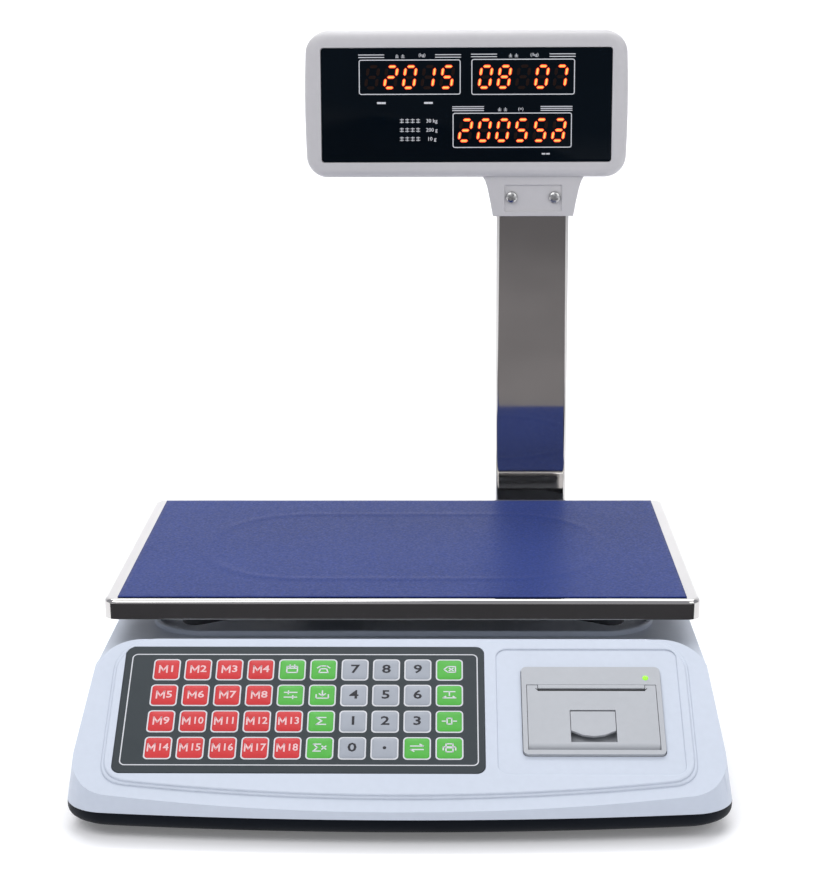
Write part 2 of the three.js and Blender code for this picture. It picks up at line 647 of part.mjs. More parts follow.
function panCarrier() {
  const z1 = CARRIER_ARM_TOP;
  const z0 = z1 - CARRIER_ARM_H;
  const column = block(CELL_CAP_X - COLUMN_X / 2, CELL_CAP_X + COLUMN_X / 2, PLATTER_Y - COLUMN_Y / 2,
    PLATTER_Y + COLUMN_Y / 2, CARRIER_HUB_Z, z1 - 2);
  const bridge = block(CELL_CAP_X - 24, 30, PLATTER_Y - 26, PLATTER_Y + 26, z0, z1 - 4);
  const reach = Math.hypot(PAD_X, PAD_Y);
  const arms = [-1, 1].map((side) => {
    const arm = slab(roundedRect(reach * 2 + CARRIER_ARM_W, CARRIER_ARM_W, CARRIER_ARM_W / 2 - 0.1), z0, z1);
    return arm.rotateZ(side * Math.atan2(PAD_Y, PAD_X)).translate(0, PLATTER_Y, 0);
  });
  const frontBeam = (side) => block(-PAD_X, PAD_X, PLATTER_Y + side * PAD_Y - 4, PLATTER_Y + side * PAD_Y + 4,
    z0 + 3, z1 - 3);
  return join(column, bridge, ...arms, frontBeam(-1), frontBeam(1));
}

function platter() {
  const z0 = PLATTER_TOP - PLATTER_LIP;
  const soft = PLATTER_CORNER / 2;
  const plan = (inset) => roundedRect(PLATTER_W - inset * 2, PLATTER_D - inset * 2,
    PLATTER_CORNER - inset, 0, PLATTER_Y);
  const rim = slab(plan(0), z0, PLATTER_TOP - soft);
  const round = (inset, low, high) => slab(plan(inset), low, high);
  const top = join(rim, round(0.4, z0 + 1, PLATTER_TOP - 1), round(1.2, z0 + 1, PLATTER_TOP));
  return cut(top, slab(plan(PLATTER_SHEET + 1.2), z0 - 1, PLATTER_TOP - PLATTER_SHEET),
    slab(plan(PLATTER_SHEET), z0 - 1, PLATTER_TOP - soft - PLATTER_SHEET));
}

const FOOT_BLOCK_X = -CELL_CAP_X;

add(scale, 'load_cell_foot', block(FOOT_BLOCK_X - CELL_END / 2, FOOT_BLOCK_X + CELL_END / 2,
  PLATTER_Y - CELL_W / 2, PLATTER_Y + CELL_W / 2, CHASSIS_TOP + FIT, CELL_Z - FIT), ALUMINIUM);
add(scale, 'load_cell', loadCell(), ALUMINIUM);
add(scale, 'load_cell_cap', block(CELL_CAP_X - COLUMN_X / 2, CELL_CAP_X + COLUMN_X / 2,
  PLATTER_Y - CELL_W / 2, PLATTER_Y + CELL_W / 2, CAP_Z, CARRIER_HUB_Z - FIT), ALUMINIUM);
add(scale, 'pan_carrier', panCarrier(), CAST_BLACK);
[[-1, -1], [1, -1], [-1, 1], [1, 1]].forEach(([sx, sy], index) => {
  const z = CARRIER_ARM_TOP + FIT;
  const pad = rodZ(PAD_R - 1.5, z, z + PAD_H, sx * (PAD_X - 1), PLATTER_Y + sy * (PAD_Y - 1));
  add(scale, `carrier_pad_${index + 1}`, pad, RUBBER);
});
add(scale, 'platter', platter(), POLISHED_STEEL);
add(scale, 'platter_film', slab(roundedRect(PLATTER_W - FILM_BORDER * 2, PLATTER_D - FILM_BORDER * 1.2, 2, 0,
  PLATTER_Y), PLATTER_TOP + 0.1, PLATTER_TOP + 0.1 + FILM_THICKNESS), BLUE_FILM);

// ---- Keypad, in the hood's frame --------------------------------------------------------
function keypadOverlay() {
  return slab(roundedRect(KEYPAD_W, KEYPAD_H, 5, KEYPAD_X, -KEYPAD_H / 2), 0.1 - OVERLAY_THICKNESS, 0.1);
}

function keypadCircuit() {
  const z = 0.2 - KEYPAD_POCKET;
  const sheet = slab(roundedRect(KEYPAD_W - 6, KEYPAD_H - 6, 3, KEYPAD_X, -KEYPAD_H / 2), z,
    z + CIRCUIT_THICKNESS);
  const tail = block(TAIL_X - TAIL_W / 2, TAIL_X + TAIL_W / 2, -TAIL_DOWN - CIRCUIT_THICKNESS, -TAIL_DOWN,
    -38, z + CIRCUIT_THICKNESS / 2);
  return join(sheet, tail);
}

add(hood, 'keypad_overlay', keypadOverlay(), OVERLAY_GREY);
add(hood, 'keypad_circuit', keypadCircuit(), BLACK_PLASTIC);

// ---- Label printer, in the hood's frame ---------------------------------------------------
const BEZEL_Y = -BEZEL_TOP - BEZEL_H / 2;
const BEZEL_LOW = -BEZEL_TOP - BEZEL_H;
const MOUTH = {
  x0: PRINTER_X - BEZEL_W / 2 + BEZEL_FRAME - FIT,
  x1: PRINTER_X + BEZEL_W / 2 - BEZEL_FRAME + FIT,
  y0: BEZEL_LOW + BEZEL_FRAME,
  y1: -DOOR_TOP + FIT,
};
const BUCKET_W = PAPER_W + 3;
const BUCKET_Y = (MOUTH.y0 + MOUTH.y1) / 2 + 1;
const BUCKET_Z = -BUCKET_R + 1.5;
const BUCKET_X0 = PRINTER_X - BUCKET_W / 2 - FRAME_WALL;
const BUCKET_X1 = PRINTER_X + BUCKET_W / 2 + FRAME_WALL;
const FRAME_X0 = MOUTH.x0 - FRAME_WALL;
const FRAME_X1 = MOUTH.x1 + FRAME_WALL;
const RING_BOTTOM = -12;
const FLANGE_TOP = -PANEL_STEP - WALL - FIT;
const HINGE_Y = MOUTH.y0 + FIT + DOOR_KNUCKLE;
const HINGE_Z = BEZEL_PROUD - DOOR_SINK - DOOR_KNUCKLE;
const PLATEN_Y = -36.6;
const PLATEN_Z = -7.5;
const SLOT_Y = PLATEN_Y + PLATEN_R;
const GEAR_X0 = BUCKET_X1 + 1;
const GEAR_X1 = GEAR_X0 + GEAR_W;
const PINION_ANGLE = THREE.MathUtils.degToRad(-20);

function pitchRadius(teeth) {
  return (GEAR_MODULE * teeth) / 2;
}

function centreDistance(teethA, teethB) {
  return pitchRadius(teethA) + pitchRadius(teethB) + GEAR_SPREAD;
}

const IDLER_Y = PLATEN_Y;
const IDLER_Z = PLATEN_Z - centreDistance(PLATEN_TEETH, IDLER_TEETH);
const PINION_REACH = centreDistance(IDLER_TEETH, PINION_TEETH);
const PINION_Y = IDLER_Y + PINION_REACH * Math.cos(PINION_ANGLE);
const PINION_Z = IDLER_Z + PINION_REACH * Math.sin(PINION_ANGLE);

// The tooth angle of a gear that meshes with one whose tooth lies at `theta`, seen at `bearing`.
function meshAngle(theta, teeth, bearing, ownTeeth) {
  return bearing + Math.PI + Math.PI / ownTeeth - ((theta - bearing) * teeth) / ownTeeth;
}

// A spur gear with straight-sided teeth, one of them at angle `theta`, about an axis along x.
function gear(teeth, theta, bore, y, z) {
  const pitch = (Math.PI * 2) / teeth;
  const root = pitchRadius(teeth) - GEAR_MODULE * 1.15;
  const tip = pitchRadius(teeth) + GEAR_MODULE * 0.85;
  const points = [];
  for (let i = 0; i < teeth; i += 1) {
    for (const [radius, side] of [[root, -0.27], [tip, -0.09], [tip, 0.09], [root, 0.27]]) {
      const angle = theta + (i + side) * pitch;
      points.push([y + radius * Math.cos(angle), z + radius * Math.sin(angle)]);
    }
  }
  const wheel = profileX(polygon(points), GEAR_X0, GEAR_X1);
  return bore > 0 ? cut(wheel, rodX(bore, GEAR_X0 - 1, GEAR_X1 + 1, y, z)) : wheel;
}

const PLATEN_ANGLE = -Math.PI / 2;
const IDLER_ANGLE = meshAngle(PLATEN_ANGLE, PLATEN_TEETH, -Math.PI / 2, IDLER_TEETH);
const PINION_TOOTH = meshAngle(IDLER_ANGLE, IDLER_TEETH, PINION_ANGLE, PINION_TEETH);
const STUD_R = 1.5;
const PINION_SHAFT_R = 1.2;

function bucketShape(radius, top) {
  const shape = new THREE.Shape();
  shape.moveTo(BUCKET_Y + radius, top);
  shape.lineTo(BUCKET_Y - radius, top);
  shape.absarc(BUCKET_Y, BUCKET_Z, radius, Math.PI, Math.PI * 2);
  return shape;
}

function printerFrame() {
  const bezel = slab(roundedRect(BEZEL_W, BEZEL_H, 3, PRINTER_X, BEZEL_Y), FLANGE_TOP - 1, BEZEL_PROUD);
  const flange = slab(roundedRect(BEZEL_W + 9.5, BEZEL_H + 8.7, 3, PRINTER_X, BEZEL_Y), FLANGE_TOP - 1.7,
    FLANGE_TOP);
  const outerR = BUCKET_R + FRAME_WALL;
  const ring = block(FRAME_X0, FRAME_X1, BUCKET_Y - outerR, BUCKET_Y + outerR, RING_BOTTOM, FLANGE_TOP);
  const bucket = profileX(bucketShape(outerR, RING_BOTTOM + 1), BUCKET_X0, BUCKET_X1, 6);
  const motorPlate = block(FRAME_X1 - FRAME_WALL, FRAME_X1, PINION_Y - 25, PINION_Y + 11.5, PINION_Z - 11,
    FLANGE_TOP);
  const mouth = block(MOUTH.x0, MOUTH.x1, MOUTH.y0, MOUTH.y1, RING_BOTTOM - 0.1, 5);
  const hollow = profileX(bucketShape(BUCKET_R, RING_BOTTOM + 2), BUCKET_X0 + FRAME_WALL,
    BUCKET_X1 - FRAME_WALL, 6);
  const body = cut(join(bezel, flange, ring, bucket, motorPlate), mouth, hollow);
  const gearSpace = block(BUCKET_X1, FRAME_X1 - FRAME_WALL, MOUTH.y0, BUCKET_Y + outerR + 1,
    PINION_Z - 15, RING_BOTTOM + 0.1);
  const holes = [
    rodX(STUD_R + RUN, FRAME_X0 - 1, MOUTH.x0 + 1, HINGE_Y, HINGE_Z),
    rodX(STUD_R + RUN, MOUTH.x1 - 1, FRAME_X1 + 1, HINGE_Y, HINGE_Z),
    rodX(3, FRAME_X1 - 3, FRAME_X1 + 1, PINION_Y, PINION_Z),
    rodZ(1.55, -20, 5, PRINTER_X + BEZEL_W / 2 - 8.4, -BEZEL_TOP - 8),
  ];
  const stud = rodX(STUD_R, BUCKET_X1 - FRAME_WALL / 2, FRAME_X1 - FRAME_WALL / 2, IDLER_Y, IDLER_Z);
  return join(cut(body, gearSpace, ...holes), stud);
}

function printerDoor() {
  const top = BEZEL_PROUD - DOOR_SINK;
  const under = top - DOOR_T;
  const side = new THREE.Shape();
  side.moveTo(-DOOR_TOP, under);
  side.lineTo(-DOOR_TOP, top);
  side.absarc(HINGE_Y, HINGE_Z, DOOR_KNUCKLE, Math.PI / 2, Math.PI * 1.75);
  side.lineTo(HINGE_Y + DOOR_KNUCKLE + 1, under);
  const x0 = MOUTH.x0 + FIT;
  const x1 = MOUTH.x1 - FIT;
  const panel = profileX(side, x0, x1, 6);
  const slotHalf = (PAPER_W + 3.6) / 2;
  const slot = block(PRINTER_X - slotHalf, PRINTER_X + slotHalf, SLOT_Y - 0.2, 0, -20, 5);
  const latchTop = -LATCH_TOP + LATCH_SWING;
  const latchX = LATCH_W / 2 + FIT;
  const pocketBox = block(PRINTER_X - latchX - 1.2, PRINTER_X + latchX + 1.2, -LATCH_RECESS - 1.2,
    latchTop + 1.2, under - 4, top - 0.5);
  const pocket = block(PRINTER_X - latchX, PRINTER_X + latchX, -LATCH_RECESS, latchTop, under - 3, 5);
  const armBottom = RING_BOTTOM + 0.6;
  const arm = (ax) => block(ax, ax + 2.2, PLATEN_Y - 5, PLATEN_Y + 4, armBottom, under + 1);
  const leftArm = PRINTER_X - PAPER_W / 2 - 5;
  const rightArm = PRINTER_X + PAPER_W / 2 + 1.2;
  const pins = [rodX(STUD_R, x0 - FRAME_WALL, x0 + 2, HINGE_Y, HINGE_Z),
    rodX(STUD_R, x1 - 2, x1 + FRAME_WALL, HINGE_Y, HINGE_Z)];
  const solid = join(panel, pocketBox, arm(leftArm), arm(rightArm), ...pins);
  const shaftHole = rodX(PLATEN_SHAFT_R + RUN, x0 - 5, x1 + 5, PLATEN_Y, PLATEN_Z);
  const gearTip = pitchRadius(PLATEN_TEETH) + GEAR_MODULE + FIT;
  const gearRelief = block(GEAR_X0 - FIT, GEAR_X1 + CLEAR, PLATEN_Y - gearTip, PLATEN_Y + gearTip,
    PLATEN_Z, PLATEN_Z + gearTip);
  return cut(solid, slot, pocket, shaftHole, gearRelief);
}

const LATCH_PIVOT_Y = -LATCH_TOP - 1.9;
const LATCH_PIVOT_Z = -1.5;

function doorLatch() {
  const top = BEZEL_PROUD - DOOR_SINK;
  const half = LATCH_W / 2;
  const tab = new THREE.Shape();
  tab.moveTo(PRINTER_X - half, -LATCH_TOP);
  tab.lineTo(PRINTER_X - half, -LATCH_BOTTOM + 4);
  tab.quadraticCurveTo(PRINTER_X, -LATCH_BOTTOM - 4, PRINTER_X + half, -LATCH_BOTTOM + 4);
  tab.lineTo(PRINTER_X + half, -LATCH_TOP);
  const barrel = rodX(1.4, PRINTER_X - half, PRINTER_X + half, LATCH_PIVOT_Y, LATCH_PIVOT_Z, 10);
  return join(slab(tab, top - 1.8, top, 4), barrel);
}

add(hood, 'printer_frame', printerFrame(), GREY_PLASTIC);
add(hood, 'printer_door', printerDoor(), GREY_PLASTIC);
add(hood, 'door_latch', doorLatch(), GREY_PLASTIC);
add(hood, 'print_head', block(PRINTER_X - PAPER_W / 2 - 1, PRINTER_X + PAPER_W / 2 + 1, SLOT_Y + 0.7,
  MOUTH.y1 - FIT, -18, -3), ALUMINIUM);
add(hood, 'tear_bar', block(PRINTER_X - PAPER_W / 2 - 1.5, PRINTER_X + PAPER_W / 2 + 1.5, SLOT_Y + 1.4,
  MOUTH.y1 - FIT, -2.6, BEZEL_PROUD + 0.3), ZINC_STEEL);
const platenShaft = rodX(PLATEN_SHAFT_R, MOUTH.x0 + 1.2, GEAR_X1 + 0.2, PLATEN_Y, PLATEN_Z);
add(hood, 'platen_shaft', platenShaft, ZINC_STEEL);
add(hood, 'platen_rubber', ringX(PLATEN_SHAFT_R + FIT, PLATEN_R, PRINTER_X - PAPER_W / 2 - 0.5,
  PRINTER_X + PAPER_W / 2 + 0.5, PLATEN_Y, PLATEN_Z), RUBBER);
add(hood, 'platen_gear', gear(PLATEN_TEETH, PLATEN_ANGLE, PLATEN_SHAFT_R + FIT, PLATEN_Y, PLATEN_Z),
  GEAR_WHITE);
add(hood, 'idler_gear', gear(IDLER_TEETH, IDLER_ANGLE, STUD_R + RUN, IDLER_Y, IDLER_Z), GEAR_WHITE);
add(hood, 'motor_pinion', join(gear(PINION_TEETH, PINION_TOOTH, 0, PINION_Y, PINION_Z),
  rodX(PINION_SHAFT_R, GEAR_X1 - 1, FRAME_X1 + 2, PINION_Y, PINION_Z)), GEAR_WHITE);
add(hood, 'feed_motor', cut(rodX(MOTOR_R, FRAME_X1 + FIT, FRAME_X1 + FIT + MOTOR_L, PINION_Y, PINION_Z, 24),
  rodX(PINION_SHAFT_R + FIT, FRAME_X1, FRAME_X1 + 3, PINION_Y, PINION_Z)), ZINC_STEEL);
add(hood, 'status_led', rodZ(1.25, -2, BEZEL_PROUD + 0.4, PRINTER_X + BEZEL_W / 2 - 8.4, -BEZEL_TOP - 8, 12),
  LED_GREEN);

// The roll lies at the lowest place of the bucket, which the slope tilts.
const ROLL_DROP = BUCKET_R - ROLL_R - FIT * 2;
const ROLL_Y = BUCKET_Y - ROLL_DROP * Math.sin(SLOPE);
const ROLL_Z = BUCKET_Z - ROLL_DROP * Math.cos(SLOPE);
add(hood, 'paper_roll', ringX(ROLL_CORE_R, ROLL_R, PRINTER_X - PAPER_W / 2, PRINTER_X + PAPER_W / 2,
  ROLL_Y, ROLL_Z, 24), PAPER);
add(hood, 'paper_core', ringX(ROLL_CORE_R - FIT - CORE_WALL, ROLL_CORE_R - FIT, PRINTER_X - PAPER_W / 2,
  PRINTER_X + PAPER_W / 2, ROLL_Y, ROLL_Z, 16), PAPER);

// ---- Pole -------------------------------------------------------------------------------
const NECK_SCREW_X = 14.75;
const NECK_SCREW_Z = HEAD_BOTTOM - 13.8;
const NECK_SCREW_R = 2;
const POLE_SCREW_Z = 50;
const POLE_SCREW_R = 2.5;

function pole() {
  const plan = (inset) => roundedRect(POLE_W - inset * 2, POLE_D - inset * 2, 2.5 - inset, POLE_X, POLE_Y);
  const tube = cut(slab(plan(0), POLE_BOTTOM, POLE_TOP), slab(plan(POLE_WALL), 0, POLE_TOP + 1));
  const front = [POLE_FRONT - 1, POLE_FRONT + POLE_WALL + 1];
  const holes = [-1, 1].map((side) => rodY(NECK_SCREW_R + FIT, ...front, POLE_X + side * NECK_SCREW_X,
    NECK_SCREW_Z));
  return cut(tube, ...holes, rodY(CABLE_HOLE_R, ...front, POLE_X, CABLE_ENTRY_Z),
    rodX(POLE_SCREW_R + FIT, POLE_X - POLE_W, POLE_X + POLE_W, POLE_Y, POLE_SCREW_Z));
}

function poleBracket() {
  const y0 = CASE_REAR + 1.6;
  const y1 = POLE_FRONT + POLE_D - 3;
  const half = POLE_W / 2 + FIT;
  const outer = half + BRACKET_T;
  const z0 = POLE_BOTTOM - FIT - BRACKET_T;
  const channel = cut(block(POLE_X - outer, POLE_X + outer, y0, y1, z0, BRACKET_TOP),
    block(POLE_X - half, POLE_X + half, y0 + BRACKET_T, y1 + 1, POLE_BOTTOM - FIT, BRACKET_TOP + 1));
  const tongue = block(POLE_X - TONGUE_W / 2, POLE_X + TONGUE_W / 2, CASE_REAR - 42, y0 + 1, TONGUE_Z,
    TONGUE_Z + BRACKET_T);
  return cut(join(channel, tongue), rodY(CABLE_HOLE_R, y0 - 1, y0 + BRACKET_T + 1, POLE_X, CABLE_ENTRY_Z),
    rodX(POLE_SCREW_R + FIT, POLE_X - POLE_W, POLE_X + POLE_W, POLE_Y, POLE_SCREW_Z));
}

// A pan-head screw with a cross recess; its head's seat is at 0 and its shank runs along +Z.
function panScrew(headR, headH, shankR, shankL) {
  const body = turned([[0, -headH], [headR * 0.7, -headH], [headR, -headH * 0.45], [headR, 0], [shankR, 0],
    [shankR, shankL], [0, shankL]], 16);
  const arm = headR * 0.6;
  const slit = 0.45;
  return cut(body, block(-arm, arm, -slit, slit, -headH - 1, -headH * 0.4),
    block(-slit, slit, -arm, arm, -headH - 1, -headH * 0.4));
}

function poleScrew(side) {
  const seat = POLE_X + side * (POLE_W / 2 + FIT + BRACKET_T + FIT);
  const screw = panScrew(4.6, 3, POLE_SCREW_R, 9).rotateY((-side * Math.PI) / 2);
  return screw.translate(seat, POLE_Y, POLE_SCREW_Z);
}

add(scale, 'pole', pole(), POLISHED_STEEL);
add(scale, 'pole_bracket', poleBracket(), ZINC_STEEL);
add(scale, 'pole_screw_left', poleScrew(-1), ZINC_STEEL);
add(scale, 'pole_screw_right', poleScrew(1), ZINC_STEEL);

// ---- Display head ---------------------------------------------------------------------------
const NECK_FRONT = HEAD_FRONT + NECK_SETBACK;
const NECK_RECESS = 1.2;

function neckPlan(inset) {
  const foot = POLE_W / 2 + FIT + HEAD_WALL - inset;
  const top = NECK_W / 2 - inset;
  const z1 = HEAD_BOTTOM + HEAD_CORNER;
  return polygon([
    [POLE_X - foot, HEAD_BOTTOM - NECK_H],
    [POLE_X + foot, HEAD_BOTTOM - NECK_H],
    [POLE_X + top, HEAD_BOTTOM],
    [POLE_X + top, z1],
    [POLE_X - top, z1],
    [POLE_X - top, HEAD_BOTTOM],
  ]);
}

function headForm() {
  const size = (inset) => {
    return roundedRect(HEAD_W - inset * 2, HEAD_H - inset * 2, HEAD_CORNER - inset, HEAD_X, HEAD_Z);
  };
  const half = HEAD_EDGE / 3;
  const layers = [
    profileY(size(0), HEAD_FRONT + HEAD_EDGE, HEAD_REAR - HEAD_EDGE, 3),
    profileY(size(half), HEAD_FRONT + half, HEAD_REAR - half, 3),
    profileY(size(HEAD_EDGE), HEAD_FRONT, HEAD_REAR, 3),
  ];
  return join(...layers, profileY(neckPlan(0), NECK_FRONT, HEAD_REAR - FIT));
}

function headHollow() {
  const both = HEAD_WALL * 2;
  const inner = roundedRect(HEAD_W - both, HEAD_H - both, HEAD_CORNER - HEAD_WALL, HEAD_X, HEAD_Z);
  const room = profileY(inner, HEAD_FRONT + HEAD_FACE, HEAD_REAR - HEAD_FACE, 3);
  const half = POLE_W / 2 + FIT;
  const socket = block(POLE_X - half, POLE_X + half, POLE_FRONT - FIT, POLE_FRONT + POLE_D + FIT,
    HEAD_BOTTOM - NECK_H - 1, HEAD_BOTTOM + 6);
  return join(room, socket);
}

function windowPlan(grow) {
  return roundedRect(WINDOW_W + grow * 2, WINDOW_H + grow * 2, 2, HEAD_X, HEAD_Z);
}

function headHousing(front) {
  const [y0, y1] = front ? [HEAD_FRONT - 1, HEAD_SPLIT - FIT / 2] : [HEAD_SPLIT + FIT / 2, HEAD_REAR + 1];
  const shell = cut(headForm(), headHollow());
  const half = common(shell, block(HEAD_X - HEAD_W, HEAD_X + HEAD_W, y0, y1, 0, HEAD_Z * 2));
  const face = front ? HEAD_FRONT : HEAD_REAR;
  const inward = front ? 1 : -1;
  const span = (a, b) => [face + a * inward, face + b * inward].sort((p, q) => p - q);
  const recess = profileY(windowPlan(FIT), ...span(-1, WINDOW_SINK + WINDOW_T + FIT));
  const light = profileY(windowPlan(-WINDOW_LEDGE), ...span(-1, HEAD_FACE + 1));
  const body = cut(half, recess, light);
  if (!front) {
    return body;
  }
  const plate = block(POLE_X - 19.5, POLE_X + 19.5, NECK_FRONT - 1, NECK_FRONT + NECK_RECESS,
    NECK_SCREW_Z - 9.6, NECK_SCREW_Z + 8.3);
  const holes = [-1, 1].map((side) => rodY(NECK_SCREW_R + FIT, NECK_FRONT - 1, POLE_FRONT + 1,
    POLE_X + side * NECK_SCREW_X, NECK_SCREW_Z));
  return cut(body, plate, ...holes);
}

function windowPane(front) {
  const face = front ? HEAD_FRONT + WINDOW_SINK : HEAD_REAR - WINDOW_SINK - WINDOW_T;
  return profileY(windowPlan(0), face, face + WINDOW_T);
}

const BOARD_T = 1.6;

function displayBoard() {
  const outline = roundedRect(180, 70, 3, HEAD_X, HEAD_Z);
  const board = profileY(outline, HEAD_SPLIT - BOARD_T / 2, HEAD_SPLIT + BOARD_T / 2);
  const plug = block(POLE_X - 7, POLE_X + 7, HEAD_SPLIT, POLE_Y + 3.5, HEAD_Z - 33, HEAD_Z - 25);
  return join(board, plug);
}

function digitModule(row, front) {
  const side = front ? -1 : 1;
  const near = HEAD_SPLIT + side * (BOARD_T / 2 + FIT);
  const far = near + side * DIGIT_MODULE_D;
  const half = (row.digits * DIGIT_PITCH) / 2;
  const x = HEAD_X - side * row.x;
  const z = HEAD_Z + row.z;
  return block(x - half, x + half, Math.min(near, far), Math.max(near, far), z - DIGIT_MODULE_H / 2,
    z + DIGIT_MODULE_H / 2);
}

add(scale, 'head_front_housing', headHousing(true), GREY_PLASTIC);
add(scale, 'head_rear_housing', headHousing(false), GREY_PLASTIC);
add(scale, 'front_window', windowPane(true), WINDOW_DARK);
add(scale, 'rear_window', windowPane(false), WINDOW_DARK);
add(scale, 'display_board', displayBoard(), BOARD_GREEN);
for (const row of DISPLAY_ROWS) {
  add(scale, `${row.name}_front`, digitModule(row, true), LED_RED);
  add(scale, `${row.name}_rear`, digitModule(row, false), LED_RED);
}
[['left', -1], ['right', 1]].forEach(([name, side]) => {
  const screw = panScrew(4, 2.4, NECK_SCREW_R, 9).rotateX(-Math.PI / 2);
  const seat = NECK_FRONT + NECK_RECESS - FIT;
  screw.translate(POLE_X + side * NECK_SCREW_X, seat, NECK_SCREW_Z);
  add(scale, `neck_screw_${name}`, screw, ZINC_STEEL);
});

// ---- Display cable: from the display board down the pole and into the casing --------------------
function displayCable() {
  const { x1, y1, z } = MAIN_BOARD;
  const mouth = new THREE.Vector3(POLE_X, CASE_REAR, CABLE_ENTRY_Z);
  const plugBottom = HEAD_Z - 33 - FIT;
  const points = [
    [POLE_X, POLE_Y + 0.5, plugBottom],
    [POLE_X, POLE_Y, plugBottom - 20],
    [POLE_X, POLE_Y, plugBottom * 0.7],
    [POLE_X, POLE_Y, plugBottom * 0.4],
    [POLE_X, POLE_Y, mouth.z + 40],
    [POLE_X, POLE_Y - 1, mouth.z + 14],
    [POLE_X, POLE_Y - 5, mouth.z + 3],
    [POLE_X, POLE_FRONT + 1, mouth.z],
    [POLE_X, mouth.y + 3, mouth.z],
    [POLE_X, mouth.y - 10, mouth.z],
    [POLE_X + 8, mouth.y - 34, mouth.z - 4],
    [POLE_X + 30, mouth.y - 70, mouth.z - 8],
    [POLE_X + 34, mouth.y - 150, mouth.z - 10],
    [POLE_X + 20, 36, mouth.z - 10],
    [POLE_X - 30, 14, mouth.z - 10],
    [x1 + 36, y1 - 5, z + 8],
    [x1 + 14, y1 - 6, z + 7],
    [x1 - 1 + FIT, y1 - 6, z + 7],
  ].map((point) => new THREE.Vector3(...point));
  const path = new THREE.CatmullRomCurve3(points, false, 'centripetal');
  const section = new THREE.Shape();
  section.absarc(0, 0, CABLE_R, 0, Math.PI * 2);
  return new THREE.ExtrudeGeometry(section, {
    extrudePath: path, steps: 56, curveSegments: 3, bevelEnabled: false,
  });
}

add(scale, 'display_cable', displayCable(), BLACK_PLASTIC);

export default model;
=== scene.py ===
"""Builds the looks of a label printing scale round its packed frame."""

import json
import math

import bmesh
import bpy
from bpy.props import FloatProperty, FloatVectorProperty, PointerProperty, StringProperty
from mathutils import Matrix, Vector

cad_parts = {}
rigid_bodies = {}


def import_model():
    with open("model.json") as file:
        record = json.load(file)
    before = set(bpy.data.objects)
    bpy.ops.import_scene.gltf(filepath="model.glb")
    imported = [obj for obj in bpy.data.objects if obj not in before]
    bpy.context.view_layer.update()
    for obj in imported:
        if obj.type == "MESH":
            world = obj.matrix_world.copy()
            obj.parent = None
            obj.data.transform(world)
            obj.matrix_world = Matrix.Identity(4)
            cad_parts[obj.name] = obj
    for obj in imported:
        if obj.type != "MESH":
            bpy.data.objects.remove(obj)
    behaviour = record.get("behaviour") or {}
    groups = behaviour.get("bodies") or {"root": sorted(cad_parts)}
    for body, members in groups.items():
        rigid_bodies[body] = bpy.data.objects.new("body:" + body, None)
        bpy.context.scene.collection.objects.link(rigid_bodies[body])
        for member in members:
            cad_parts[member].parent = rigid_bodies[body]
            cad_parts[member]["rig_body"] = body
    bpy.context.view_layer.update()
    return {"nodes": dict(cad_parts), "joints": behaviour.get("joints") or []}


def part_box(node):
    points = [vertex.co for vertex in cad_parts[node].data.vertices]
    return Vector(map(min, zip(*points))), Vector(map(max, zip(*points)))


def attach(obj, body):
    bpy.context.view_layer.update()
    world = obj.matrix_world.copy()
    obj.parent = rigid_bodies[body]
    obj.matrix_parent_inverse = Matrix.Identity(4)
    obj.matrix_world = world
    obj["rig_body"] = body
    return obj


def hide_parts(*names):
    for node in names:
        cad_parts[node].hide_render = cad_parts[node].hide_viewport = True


bl_info = {
    "name": "Label printing scale",
    "version": (1, 0, 0),
    "blender": (4, 5, 0),
    "location": "View3D > Sidebar > Scale",
    "description": "Builds the casing, keypad, printer, platter and display of a scale",
    "category": "Add Mesh",
}

MM = 0.001
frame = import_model()

# ---- Places taken from the frame ----


def spread(node):
    """Centre and size of a CAD node's box."""
    low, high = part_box(node)
    return (low + high) / 2, high - low


BASE_LOW, BASE_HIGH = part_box("base_shell")
COVER_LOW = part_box("top_cover")[0]
PLATTER_LOW, PLATTER_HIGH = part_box("platter")
FILM_LOW, FILM_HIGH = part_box("platter_film")
POLE_LOW, POLE_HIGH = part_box("pole")
FRONT_LOW, FRONT_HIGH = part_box("head_front_housing")
REAR_LOW, REAR_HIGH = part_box("head_rear_housing")
WINDOW_LOW, WINDOW_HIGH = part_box("front_window")
OVERLAY_LOW, OVERLAY_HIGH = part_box("keypad_overlay")

SLOPE = math.radians(32.4)
OVERLAY_OUT = 0.1 * MM
OVERLAY_IN = 0.6 * MM
HOOD_Y = OVERLAY_HIGH.y - OVERLAY_IN * math.sin(SLOPE)
HOOD_Z = OVERLAY_HIGH.z - OVERLAY_OUT * math.cos(SLOPE)
# The hood's own frame: x across, y up the slope, z out of the panel.
HOOD = Matrix.Translation((0, HOOD_Y, HOOD_Z)) @ Matrix.Rotation(SLOPE, 4, "X")
KEYPAD_X = (OVERLAY_LOW.x + OVERLAY_HIGH.x) / 2
KEYPAD_W = OVERLAY_HIGH.x - OVERLAY_LOW.x
KEYPAD_H = 88.8 * MM
PRINTER_X = spread("printer_door")[0].x
POLE_X = (POLE_LOW.x + POLE_HIGH.x) / 2
POLE_Y = (POLE_LOW.y + POLE_HIGH.y) / 2
HEAD_X = (WINDOW_LOW.x + WINDOW_HIGH.x) / 2
HEAD_Z = (WINDOW_LOW.z + WINDOW_HIGH.z) / 2
HEAD_SPLIT = (FRONT_HIGH.y + REAR_LOW.y) / 2
HEAD_H = 98.5 * MM
DECK_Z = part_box("level_cup")[1].z - 1.5 * MM


# ---- Sizes and colours a user would change ----
def size(name, description, default):
    return FloatProperty(name=name, description=description, default=default, unit="LENGTH",
                         precision=5)


